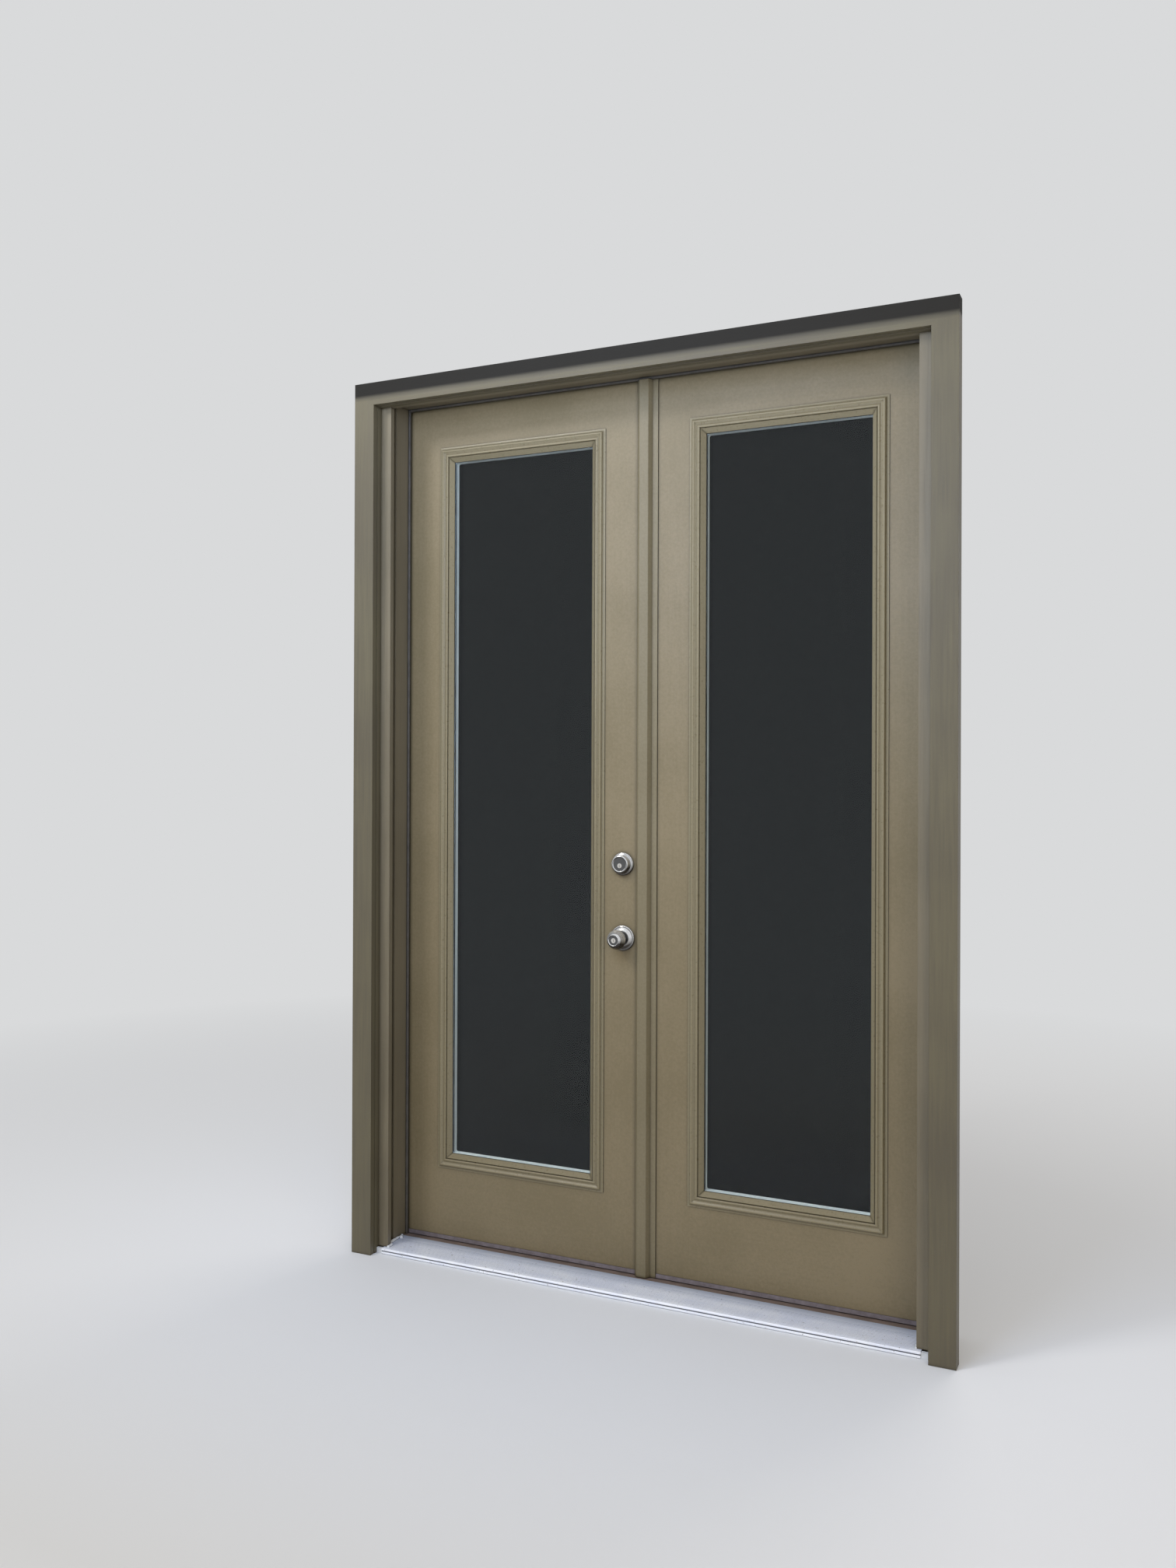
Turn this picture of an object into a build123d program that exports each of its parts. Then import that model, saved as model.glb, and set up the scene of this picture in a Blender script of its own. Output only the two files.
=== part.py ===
from build123d import *
import os
from math import radians, tan

# A pair of glazed inswing french doors with their frame, trim, sill and lock. Millimetres, +Z up.
# X runs across the doorway from its centre, Z up from the underside of the sill, and -Y is outdoors.
# Depths are told as a distance out from the leaves' outer face, and Y is worked out from that.

# Leaves
SLAB_WIDTH = 755.65
SLAB_HEIGHT = 2419.35
SLAB_THICK = 44.45
SLAB_FOOT = 22.0
MEETING_GAP = 12.7
HINGE_GAP = 3.2
HEAD_GAP = 3.2
STILE_WIDTH = 122.8
TOP_RAIL_HEIGHT = 139.5
BOTTOM_RAIL_HEIGHT = 211.0

# Lite: the moulded frame laps the slab round its cut-out and clamps the glass unit
LITE_LAP = 7.0
LITE_PLAY = 0.5
LITE_WIDTH = 43.0
LITE_EDGE = 1.9
UNIT_THICK = 25.4
PANE_THICK = 3.175
PANE_MARGIN = 5.0
SEAL_THICK = 1.6
SEAL_WIDTH = 15.0
SEAL_SHOWS = 0.8
SPACER_WIDTH = 9.0
SPACER_SHOWS = 0.6
SPACER_CORNER = 5.0

# Points of the lite frame's section, each as (width in from its outer edge, height out from the slab)
COVE_START = (3.0, 2.2)
COVE_MIDDLE = (7.0, 3.8)
COVE_END = (8.4, 7.3)
BEAD_CREST = (11.4, 9.5)
BEAD_END = (14.8, 7.9)
GROOVE_SIDE = (17.5, 6.2)
GROOVE_FLOOR = (20.2, 5.4)
RIDGE_START = (22.4, 6.3)
RIDGE_CREST = (25.6, 7.6)
QUIRK = (29.4, 4.2)
SLOPE_START = (32.0, 5.6)
THROAT_LIP = 1.2

# Frame
JAMB_DEPTH = 115.9
JAMB_THICK = 31.75
RABBET = 12.7
SHOULDER_OUT = 9.2
MOULD_THICK = 31.75
MOULD_WIDTH = 50.8
MOULD_REVEAL = 6.35
STRIP_THICK = 15.9
STRIP_WIDTH = 63.5
STRIP_LAP = 12.5
CASING_THICK = 19.05
CASING_WIDTH = 63.5
CASING_REVEAL = 21.5
BACKER_SHOWS = 1.6
CASING_DROP = 19.85

# Sill
NOSE_OUT = 133.0
NOSE_HEIGHT = 16.0
NOSE_ROUND = 3.0
NOSE_SPLIT = 8.6
DECK_SLOPE = 1.5
DECK_THICK = 2.4
DECK_BACK = 24.0
RIB_START = 50.0
RIB_PITCH = 5.2
RIB_WIDTH = 1.4
RIB_HEIGHT = 0.7
CAP_THICK = 9.0
CAP_DROP = 3.2
CAP_BACK = -30.0
CAP_JOINT = 0.3
SILL_PLAY = 0.3
BACK_DROP = 2.0
SEALANT_HEIGHT = 14.0

# Weatherstrip and sweeps
BULB_REACH = 6.5
BULB_GAP = 0.5
SWEEP_THICK = 1.2
SWEEP_RISE = 10.0
FIN_WIDTH = 1.6
FIN_GAP = 0.3
FIN_PITCH = 14.0
SWEEP_CLEAR = 0.5

# Hinges
HINGE_COUNT = 4
HINGE_HEIGHT = 101.6
HINGE_END_TOP = 180.0
HINGE_END_FOOT = 260.0
HINGE_PLATE = 2.5
HINGE_PLATE_DEEP = 32.0
BARREL_RADIUS = 6.35
BARREL_CLEAR = 0.25
KNUCKLES = 5
KNUCKLE_PLAY = 0.15
PIN_RADIUS = 3.15
PIN_PLAY = 0.05
PIN_HEAD_RADIUS = 5.4
PIN_HEAD_HEIGHT = 3.0
MORTISE_PLAY = 0.1

# Lock, measured from the foot and the lock edge of the left leaf
BACKSET = 60.3
KNOB_HEIGHT = 901.0
LOCK_SPACING = 197.0
CROSS_BORE_RADIUS = 27.0
EDGE_BORE_RADIUS = 12.7
CASE_RADIUS = 12.2
FACEPLATE_WIDTH = 25.4
FACEPLATE_HEIGHT = 57.15
FACEPLATE_THICK = 2.4
BOLT_SETBACK = 0.1
BOLT_RADIUS = 9.5
BOLT_THROW = 25.4
BOLT_LENGTH = 32.0
LATCH_DEEP = 11.0
LATCH_TALL = 14.0
LATCH_THROW = 12.0
LATCH_LENGTH = 22.0
LATCH_BEVEL = 9.0
SLIDE_PLAY = 0.3
FORK_THICK = 3.0
FORK_ARM = 3.0
SPINDLE_RADIUS = 3.8
SPINDLE_PLAY = 0.5
TAIL_WIDTH = 6.0
TAIL_THICK = 1.6
PLUG_RADIUS = 6.4
PLUG_PLAY = 0.08
PLUG_LENGTH = 22.0
KEYWAY_WIDTH = 1.6
KEYWAY_HEIGHT = 8.0
KEYWAY_DEEP = 6.0
KEYWAY_DROP = 0.6
ROSE_RADIUS = 31.0
ROSE_RISE = 3.5
ROSE_OUT = 26.0
KNOB_ROSE_RADIUS = 34.0
KNOB_ROSE_OUT = 11.0
KNOB_RADIUS = 26.0
KNOB_OUT = 66.0
SHANK_RADIUS = 11.5
SHANK_PLAY = 0.3
INNER_PLATE_RADIUS = 30.0
INNER_PLATE_THICK = 8.0
THUMB_HUB_RADIUS = 9.0
THUMB_WING_LENGTH = 34.0
THUMB_WING_THICK = 7.0
THUMB_WING_OUT = 20.0
THUMB_WING_ROUND = 6.0

# Astragal on the right leaf, with its slide bolts and strikes
STEM_THICK = 8.0
FLANGE_LEFT = 27.0
FLANGE_RIGHT = 32.0
FLANGE_THICK = 3.0
FLANGE_GAP = 0.8
BOSS_LEFT = 17.3
BOSS_RIGHT = 8.7
BOSS_FOOT_RIGHT = 17.0
BOSS_OUT = 16.0
BOSS_ROUND = 2.5
ASTRAGAL_DROP = 1.5
SLIDE_WIDE = 12.0
SLIDE_WIDE_THICK = 3.4
SLIDE_NECK = 7.4
SLIDE_LENGTH = 220.0
SLIDE_THROW = 14.0
SLIDE_END = 0.8
SLIDE_FLOOR = 2.2
POCKET_PLAY = 0.8
FINGER_LENGTH = 24.0
FINGER_WIDTH = 5.0
FINGER_DEEP = 1.2
STRIKE_THICK = 1.6
STRIKE_WIDE = 28.0
STRIKE_TALL = 60.0

# Places worked out from the sizes above
slab_half = MEETING_GAP / 2
hinge_edge = slab_half + SLAB_WIDTH
rabbet_half = hinge_edge + HINGE_GAP
stop_half = rabbet_half - RABBET
jamb_back = stop_half + JAMB_THICK
strip_half = stop_half - STRIP_LAP
casing_half = stop_half + CASING_REVEAL
jamb_out = JAMB_DEPTH - SLAB_THICK
mould_out = jamb_out + MOULD_THICK
strip_out = mould_out + STRIP_THICK
backer_out = strip_out + CASING_THICK
casing_out = backer_out + CASING_THICK
slab_top = SLAB_FOOT + SLAB_HEIGHT
head_rabbet = slab_top + HEAD_GAP
head_stop = head_rabbet - RABBET
head_top = head_stop + JAMB_THICK
casing_soffit = head_stop - CASING_DROP
face_y = (NOSE_OUT - SLAB_THICK) / 2
inner_face = -SLAB_THICK
mid_slab = -SLAB_THICK / 2
cap_top = SLAB_FOOT - CAP_DROP
cut_outer = hinge_edge - STILE_WIDTH
cut_inner = slab_half + STILE_WIDTH
cut_foot = SLAB_FOOT + BOTTOM_RAIL_HEIGHT
cut_top = slab_top - TOP_RAIL_HEIGHT
lite_outer = cut_outer + LITE_LAP
lite_inner = cut_inner - LITE_LAP
lite_foot = cut_foot - LITE_LAP
lite_top = cut_top + LITE_LAP
unit_out = -(SLAB_THICK - UNIT_THICK) / 2
hinge_x = hinge_edge + HINGE_GAP / 2
hinge_out = inner_face - BARREL_RADIUS - BARREL_CLEAR
lock_x = -(slab_half + BACKSET)
lock_edge = -slab_half
knob_z = SLAB_FOOT + KNOB_HEIGHT
bolt_z = knob_z + LOCK_SPACING
stem_face = slab_half - STEM_THICK
astragal_foot = SLAB_FOOT - ASTRAGAL_DROP


def place_y(out):
    """The Y of a distance out from the leaves' outer face."""
    return face_y - out


def block(x0, x1, out0, out1, z0, z1):
    """A square piece between two places across, two distances out and two heights."""
    size = (abs(x1 - x0), abs(out1 - out0), abs(z1 - z0))
    return Pos((x0 + x1) / 2, place_y((out0 + out1) / 2), (z0 + z1) / 2) * Box(*size)


def upright(outline, z0, z1):
    """A plan outline of (x, out) points, raised from one height to another."""
    points = [(x, place_y(out)) for x, out in outline]
    face = make_face(Polyline(*points, close=True))
    return extrude(Pos(0, 0, z0) * face, amount=z1 - z0, dir=(0, 0, 1))


def lengthways(face, half):
    """A section of (out, z), drawn flat, run across the doorway to both sides of its centre."""
    plane = Plane(origin=(half, face_y, 0), x_dir=(0, -1, 0), z_dir=(-1, 0, 0))
    return extrude(plane * face, amount=2 * half)


def board(points, out0, out1):
    """A flat board whose outline of (x, z) points faces the street."""
    plane = Plane(origin=(0, place_y(out1), 0), x_dir=(1, 0, 0), z_dir=(0, -1, 0))
    return extrude(plane * make_face(Polyline(*points, close=True)), amount=-abs(out1 - out0))


def mirrored(shape):
    """The same piece on the other side of the doorway."""
    return mirror(shape, about=Plane.YZ)


def turned_inside(shape):
    """The same piece on the indoor face of its leaf."""
    return mirror(shape, about=Plane(origin=(0, place_y(mid_slab), 0), z_dir=(0, 1, 0)))


def rod(x, z, radius, out0, out1):
    """A round piece that runs through the leaf, from outdoors to indoors."""
    height = abs(out1 - out0)
    return Pos(x, place_y((out0 + out1) / 2), z) * Rot(90, 0, 0) * Cylinder(radius, height)


def edge_rod(x0, x1, z, radius):
    """A round piece that runs across, in the middle of the leaf's thickness."""
    return Pos((x0 + x1) / 2, place_y(mid_slab), z) * Rot(0, 90, 0) * Cylinder(radius, abs(x1 - x0))


def turned(outline, x, z, out):
    """An outline of (radius, height) edges, revolved and set on the outer face."""
    solid = revolve(make_face(outline), Axis.Y)
    return Pos(x, place_y(out), z) * Rot(0, 0, 180) * solid


def together(shapes):
    """Several separate solids that share one node."""
    solids = [solid for shape in shapes for solid in shape.solids()]
    return Compound(children=solids)


# The frame


def jamb():
    """The left jamb: a board with the mortises of its hinges, and the stop planted on it."""
    back = block(-jamb_back, -rabbet_half, inner_face, jamb_out, 0, head_top)
    depth = rabbet_half + HINGE_PLATE
    for z in hinge_heights():
        back -= hinge_seat(-depth, -rabbet_half + 1, z)
    stop = block(-rabbet_half, -stop_half, SHOULDER_OUT, jamb_out, 0, head_rabbet)
    return [back, stop]


def head_jamb():
    """The head jamb: a board with the pocket of the top slide bolt, and the stop planted on it."""
    back = block(-rabbet_half, rabbet_half, inner_face, jamb_out, head_rabbet, head_top)
    back -= slide_pocket(head_rabbet - 1, slab_top - SLIDE_END + SLIDE_THROW + POCKET_PLAY)
    stop = block(-stop_half, stop_half, SHOULDER_OUT, jamb_out, head_stop, head_rabbet)
    return [back, stop]


def leg_points(half, width, z0, soffit):
    """The outline of a left leg, mitred at its top."""
    return [(-half - width, z0), (-half, z0), (-half, soffit), (-half - width, soffit + width)]


def head_points(half, width, soffit):
    """The outline of a head, mitred at both ends."""
    outer = half + width
    return [(-half, soffit), (half, soffit), (outer, soffit + width), (-outer, soffit + width)]


def mould_pieces():
    """The brickmould: a leg and a head, set back from the edge of the jambs."""
    half = stop_half + MOULD_REVEAL
    soffit = head_stop + MOULD_REVEAL
    leg = board(leg_points(half, MOULD_WIDTH, 0, soffit), jamb_out, mould_out)
    head = board(head_points(half, MOULD_WIDTH, soffit), jamb_out, mould_out)
    return leg, head


def strip_pieces():
    """The strip on the brickmould: a leg that stands on the deck and a head above it."""
    foot = deck_level(mould_out) + RIB_HEIGHT + SILL_PLAY
    soffit = casing_soffit - BACKER_SHOWS
    outer = strip_half + STRIP_WIDTH
    leg = block(-outer, -strip_half, mould_out, strip_out, foot, soffit)
    head = block(-outer, outer, mould_out, strip_out, soffit, soffit + STRIP_WIDTH)
    return leg, head


def casing_pieces(half, soffit, out0, out1):
    """One layer of the outer casing: a leg and a head, mitred together."""
    width = casing_half + CASING_WIDTH - half
    leg = board(leg_points(half, width, 0, soffit), out0, out1)
    head = board(head_points(half, width, soffit), out0, out1)
    return leg, head


# The sill


def deck_level(out):
    """The height of the deck between its ribs."""
    return NOSE_HEIGHT + (NOSE_OUT - out) * tan(radians(DECK_SLOPE))


def sill_plan():
    """The outline of the sill seen from above, with ears into the rabbets."""
    front = stop_half - SILL_PLAY
    back = rabbet_half - SILL_PLAY
    ear = SHOULDER_OUT - SILL_PLAY
    right = [(back, inner_face), (back, ear), (front, ear), (front, NOSE_OUT)]
    left = [(-x, out) for x, out in reversed(right)]
    return right + left


def fit_to_frame(solid):
    """The sill's full-length section, cut to the plan between the jambs."""
    return solid & upright(sill_plan(), 0, SLAB_FOOT)


def deck_top():
    """The top of the deck from the nosing back, with its fine ribs."""
    points = []
    out = NOSE_OUT - NOSE_ROUND - RIB_PITCH
    while out - RIB_WIDTH > RIB_START:
        level = deck_level(out)
        points.append((out, level))
        points.append((out, level + RIB_HEIGHT))
        points.append((out - RIB_WIDTH, level + RIB_HEIGHT))
        points.append((out - RIB_WIDTH, level))
        out -= RIB_PITCH
    points.append((RIB_START, deck_level(RIB_START)))
    points.append((DECK_BACK, deck_level(DECK_BACK) + RIB_HEIGHT))
    return points


def sill_deck():
    """The aluminium deck: ribbed top, two beads on the nosing and a turned-down front."""
    inner_front = NOSE_OUT - NOSE_ROUND - DECK_THICK
    start = (NOSE_OUT - NOSE_ROUND, NOSE_HEIGHT)
    split_top = (NOSE_OUT - NOSE_ROUND / 2, NOSE_SPLIT + 0.4)
    split_foot = (NOSE_OUT - NOSE_ROUND / 2, NOSE_SPLIT - 0.4)
    foot = (NOSE_OUT - NOSE_ROUND / 2, 0)
    upper_mid = (NOSE_OUT, (NOSE_HEIGHT + NOSE_SPLIT) / 2)
    lower_mid = (NOSE_OUT, NOSE_SPLIT / 2)
    back_foot = (DECK_BACK, deck_level(DECK_BACK) - DECK_THICK)
    front_foot = (inner_front, deck_level(inner_front) - DECK_THICK)
    beads = ThreePointArc(foot, lower_mid, split_foot)
    beads += Line(split_foot, split_top)
    beads += ThreePointArc(split_top, upper_mid, start)
    rest = Polyline(start, *deck_top(), back_foot, front_foot, (inner_front, 0), foot)
    return fit_to_frame(lengthways(make_face(beads + rest), rabbet_half))


def sill_base():
    """The sill's base under the deck and the cap."""
    inner_front = NOSE_OUT - NOSE_ROUND - DECK_THICK
    cap_foot = cap_top - CAP_THICK
    points = [
        (inner_face, 0),
        (inner_front, 0),
        (inner_front, deck_level(inner_front) - DECK_THICK),
        (DECK_BACK, deck_level(DECK_BACK) - DECK_THICK),
        (DECK_BACK, cap_foot),
        (CAP_BACK, cap_foot),
        (CAP_BACK, cap_top - BACK_DROP),
        (inner_face, cap_top - BACK_DROP),
    ]
    solid = fit_to_frame(lengthways(make_face(Polyline(*points, close=True)), rabbet_half))
    return solid - foot_pocket()


def sill_cap():
    """The composite cap that the sweeps close on."""
    front = DECK_BACK - CAP_JOINT
    foot = cap_top - CAP_THICK
    crown = 0.8
    points = [
        (CAP_BACK, foot),
        (front, foot),
        (front, cap_top - crown),
        (front - 2 * crown, cap_top),
        (CAP_BACK + 2 * crown, cap_top),
        (CAP_BACK, cap_top - crown),
    ]
    solid = fit_to_frame(lengthways(make_face(Polyline(*points, close=True)), rabbet_half))
    return solid - foot_pocket()


def sealant():
    """A fillet of sealant between each end of the nosing and the casing."""
    near = stop_half - SILL_PLAY
    far = casing_half - BACKER_SHOWS
    outline = [
        (-far, strip_out),
        (-near, strip_out),
        (-near, NOSE_OUT - NOSE_ROUND),
        (-near - 4, NOSE_OUT - NOSE_ROUND - 0.8),
        (-far, NOSE_OUT - 2 * NOSE_ROUND),
    ]
    left = upright(outline, 0, SEALANT_HEIGHT)
    return together([left, mirrored(left)])


# Weatherstrip and sweeps


def bulb_outline(root, tip, near, far):
    """A strip with a round nose, drawn with its root at one end and its tip at the other."""
    radius = (far - near) / 2
    middle = (near + far) / 2
    turn = 1 if tip > root else -1
    shoulder = tip - turn * radius
    nose = ThreePointArc((shoulder, near), (tip, middle), (shoulder, far))
    rest = Polyline((shoulder, far), (root, far), (root, near), (shoulder, near))
    return make_face(nose + rest)


def weatherstrip():
    """The bulb strips against the stops: two legs and a head."""
    near, far = place_y(SHOULDER_OUT), place_y(BULB_GAP)
    tip = stop_half - BULB_REACH
    leg_face = bulb_outline(-rabbet_half + 0.1, -tip, near, far)
    foot = cap_top + 0.4
    leg = extrude(Pos(0, 0, foot) * leg_face, amount=head_rabbet - foot, dir=(0, 0, 1))
    head_face = bulb_outline(head_rabbet, head_stop - BULB_REACH, near, far)
    plane = Plane(origin=(tip, 0, 0), x_dir=(0, 0, 1), z_dir=(-1, 0, 0))
    head = extrude(plane * head_face, amount=2 * tip)
    return together([leg, mirrored(leg), head])


def sweep(x0, x1, face0, face1):
    """The sweep under a leaf: a plate with fins and a low flange up the outer face."""
    plate = block(x0, x1, inner_face, 0, SLAB_FOOT - SWEEP_THICK, SLAB_FOOT)
    rise = block(face0, face1, 0, SWEEP_THICK, SLAB_FOOT - SWEEP_THICK, SLAB_FOOT + SWEEP_RISE)
    piece = plate + rise
    fin_foot = cap_top + FIN_GAP
    for step in (-1, 0):
        middle = CAP_BACK / 2 + step * FIN_PITCH
        near, far = middle - FIN_WIDTH / 2, middle + FIN_WIDTH / 2
        piece += block(x0, x1, near, far, fin_foot, SLAB_FOOT - SWEEP_THICK)
    return piece


# Hinges


def hinge_heights():
    """The middles of the hinges, spaced evenly between the end ones."""
    low = SLAB_FOOT + HINGE_END_FOOT
    high = slab_top - HINGE_END_TOP
    step = (high - low) / (HINGE_COUNT - 1)
    return [low + step * number for number in range(HINGE_COUNT)]


def hinge_seat(x0, x1, z):
    """The mortise of one hinge plate, open to the room."""
    half = HINGE_HEIGHT / 2 + MORTISE_PLAY
    deep = inner_face + HINGE_PLATE_DEEP + MORTISE_PLAY
    return block(x0, x1, inner_face - 1, deep, z - half, z + half)


def hinge_half(inner_x, outer_x, z, first):
    """One plate of a hinge with every second knuckle, from the first given."""
    half = HINGE_HEIGHT / 2
    piece = block(inner_x, outer_x, inner_face, inner_face + HINGE_PLATE_DEEP, z - half, z + half)
    tall = HINGE_HEIGHT / KNUCKLES
    for number in range(first, KNUCKLES, 2):
        low = z - half + number * tall + KNUCKLE_PLAY
        high = low + tall - 2 * KNUCKLE_PLAY
        tongue = block(inner_x, outer_x, hinge_out, inner_face, low, high)
        middle = (low + high) / 2
        ring = Pos(-hinge_x, place_y(hinge_out), middle) * Cylinder(BARREL_RADIUS, high - low)
        piece += tongue + ring
    bore = Cylinder(PIN_RADIUS + PIN_PLAY, HINGE_HEIGHT + 2)
    return piece - Pos(-hinge_x, place_y(hinge_out), z) * bore


def hinge_pin(z):
    """A hinge pin with its head resting on the top knuckle."""
    half = HINGE_HEIGHT / 2
    top = z + half - KNUCKLE_PLAY
    shaft = Pos(0, 0, z - KNUCKLE_PLAY / 2) * Cylinder(PIN_RADIUS, HINGE_HEIGHT - KNUCKLE_PLAY)
    head = Pos(0, 0, top + PIN_HEAD_HEIGHT / 2) * Cylinder(PIN_HEAD_RADIUS, PIN_HEAD_HEIGHT)
    head = fillet(head.edges().group_by(Axis.Z)[-1], PIN_HEAD_HEIGHT * 0.4)
    return Pos(-hinge_x, place_y(hinge_out), 0) * (shaft + head)


# Leaves, drawn on the left


def hinge_stile():
    """The hinge stile, with the mortises of its hinges."""
    piece = block(-hinge_edge, -cut_outer, inner_face, 0, SLAB_FOOT, slab_top)
    for z in hinge_heights():
        piece -= hinge_seat(-hinge_edge - 1, -hinge_edge + HINGE_PLATE, z)
    return piece


def plain_lock_stile():
    """The stile at the meeting edge, before it is bored."""
    return block(-cut_inner, -slab_half, inner_face, 0, SLAB_FOOT, slab_top)


def bored_lock_stile():
    """The left leaf's lock stile, bored for the knob set and the deadbolt."""
    piece = plain_lock_stile()
    for z in (knob_z, bolt_z):
        piece -= rod(lock_x, z, CROSS_BORE_RADIUS, 1, inner_face - 1)
        piece -= edge_rod(lock_x, lock_edge + 1, z, EDGE_BORE_RADIUS)
        half_deep = FACEPLATE_WIDTH / 2 + MORTISE_PLAY
        half_tall = FACEPLATE_HEIGHT / 2 + MORTISE_PLAY
        near, far = mid_slab - half_deep, mid_slab + half_deep
        seat = lock_edge - FACEPLATE_THICK
        piece -= block(seat, lock_edge + 1, near, far, z - half_tall, z + half_tall)
    return piece


def rails():
    """The rails between the stiles."""
    top = block(-cut_outer, -cut_inner, inner_face, 0, cut_top, slab_top)
    bottom = block(-cut_outer, -cut_inner, inner_face, 0, SLAB_FOOT, cut_foot)
    return top, bottom


def lite_section():
    """The section of the lite frame, from its outer edge over its mouldings to its lip on the glass."""
    seat = unit_out + SEAL_THICK
    inside = LITE_LAP + LITE_PLAY
    edge = Polyline((0, 0), (0, LITE_EDGE), COVE_START)
    edge += ThreePointArc(COVE_START, COVE_MIDDLE, COVE_END)
    edge += ThreePointArc(COVE_END, BEAD_CREST, BEAD_END)
    edge += ThreePointArc(BEAD_END, GROOVE_SIDE, GROOVE_FLOOR)
    edge += Line(GROOVE_FLOOR, RIDGE_START)
    edge += ThreePointArc(RIDGE_START, RIDGE_CREST, QUIRK)
    throat = [(LITE_WIDTH, seat + THROAT_LIP), (LITE_WIDTH, seat)]
    edge += Polyline(QUIRK, SLOPE_START, *throat, (inside, seat), (inside, 0), (0, 0))
    return make_face(edge)


def lite_frame():
    """The outer lite frame of the left leaf: four lengths, mitred at the corners."""
    x0, x1, z0, z1 = -lite_outer, -lite_inner, lite_foot, lite_top
    wide, tall = x1 - x0, z1 - z0
    y = place_y(0)
    outward = (0, -1, 0)
    section = lite_section()
    outer = [(x0, z0), (x1, z0), (x1, z1), (x0, z1)]
    steps = [(1, 1), (-1, 1), (-1, -1), (1, -1)]
    inner = [(x + a * LITE_WIDTH, z + b * LITE_WIDTH) for (x, z), (a, b) in zip(outer, steps)]
    runs = [
        ((x0, y, z0), (0, 0, 1), (1, 0, 0), wide),
        ((x1, y, z0), (-1, 0, 0), (0, 0, 1), tall),
        ((x1, y, z1), (0, 0, -1), (-1, 0, 0), wide),
        ((x0, y, z1), (1, 0, 0), (0, 0, -1), tall),
    ]
    lengths = []
    for number, (start, inward, along, length) in enumerate(runs):
        plane = Plane(origin=start, x_dir=inward, z_dir=along)
        bar = extrude(plane * section, amount=length)
        following = (number + 1) % 4
        corners = [outer[number], outer[following], inner[following], inner[number]]
        lengths.append(bar & board(corners, -SLAB_THICK, SLAB_THICK))
    return lengths


def lite_block(inset, out0, out1):
    """A block over the lite, a distance in from its outer edge all round."""
    x0, x1 = -lite_outer + inset, -lite_inner - inset
    return block(x0, x1, out0, out1, lite_foot + inset, lite_top - inset)


def ring(inset0, inset1, out0, out1, corner=0.0):
    """A flat frame round the lite between two distances in from its outer edge."""
    outer = lite_block(inset0, out0, out1)
    hole = lite_block(inset1, out0 - 1, out1 + 1)
    if corner > 0:
        hole = fillet(hole.edges().filter_by(Axis.Y), corner)
    return outer - hole


def glass_unit():
    """The two panes, the spacer bar between them and the black seal on both."""
    edge = LITE_LAP + PANE_MARGIN
    x0, x1 = -lite_outer + edge, -lite_inner - edge
    z0, z1 = lite_foot + edge, lite_top - edge
    outer = block(x0, x1, unit_out - PANE_THICK, unit_out, z0, z1)
    panes = together([outer, turned_inside(outer)])
    bar_edge = LITE_WIDTH + SPACER_SHOWS
    far = unit_out - UNIT_THICK + PANE_THICK
    spacer = ring(bar_edge - SPACER_WIDTH, bar_edge, far, unit_out - PANE_THICK, SPACER_CORNER)
    seal_edge = LITE_WIDTH + SEAL_SHOWS
    seal = ring(seal_edge - SEAL_WIDTH, seal_edge, unit_out, unit_out + SEAL_THICK)
    return panes, spacer, together([seal, turned_inside(seal)])


# Lock


def edge_case(z, hole):
    """The faceplate and tube of a bolt, with the hole that the bolt slides in."""
    near, far = mid_slab - FACEPLATE_WIDTH / 2, mid_slab + FACEPLATE_WIDTH / 2
    half = FACEPLATE_HEIGHT / 2
    plate = block(lock_edge - FACEPLATE_THICK, lock_edge, near, far, z - half, z + half)
    end = lock_x + CROSS_BORE_RADIUS + 2
    return plate + edge_rod(end, lock_edge - FACEPLATE_THICK, z, CASE_RADIUS) - hole


def fork(x0, z, half_gap, arm, throw):
    """The fork on a bolt's tail, long enough to hold the spindle or tailpiece when thrown."""
    end = lock_x - throw
    near, far = mid_slab - FORK_THICK / 2, mid_slab + FORK_THICK / 2
    outer = half_gap + arm
    body = block(end, x0, near, far, z - outer, z + outer)
    root = lock_x + half_gap
    return body - block(end - 1, root, near - 1, far + 1, z - half_gap, z + half_gap)


def latch():
    """The latch bolt, bevelled on its outdoor side, and its case."""
    tip = lock_edge - BOLT_SETBACK
    root = tip - LATCH_LENGTH
    near, far = mid_slab - LATCH_DEEP / 2, mid_slab + LATCH_DEEP / 2
    tall = LATCH_TALL / 2
    bevel = [(tip, far - LATCH_BEVEL), (tip - LATCH_BEVEL, far)]
    outline = [(root, near), (tip, near), *bevel, (root, far)]
    nose = upright(outline, knob_z - tall, knob_z + tall)
    half_gap = SPINDLE_RADIUS + SPINDLE_PLAY
    bolt = nose + fork(root + 0.5, knob_z, half_gap, tall - half_gap, LATCH_THROW)
    near, far, tall = near - SLIDE_PLAY, far + SLIDE_PLAY, tall + SLIDE_PLAY
    hole = block(lock_x, lock_edge + 1, near, far, knob_z - tall, knob_z + tall)
    return bolt, edge_case(knob_z, hole)


def deadbolt():
    """The round deadbolt and its case."""
    tip = lock_edge - BOLT_SETBACK
    root = tip - BOLT_LENGTH
    half_gap = TAIL_WIDTH / 2 + SPINDLE_PLAY
    shank = edge_rod(root, tip, bolt_z, BOLT_RADIUS)
    shank = chamfer(shank.edges().sort_by(Axis.X)[-1], 1.2)
    bolt = shank + fork(root + 0.5, bolt_z, half_gap, FORK_ARM, BOLT_THROW)
    hole = edge_rod(lock_x, lock_edge + 1, bolt_z, BOLT_RADIUS + SLIDE_PLAY)
    return bolt, edge_case(bolt_z, hole)


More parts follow.
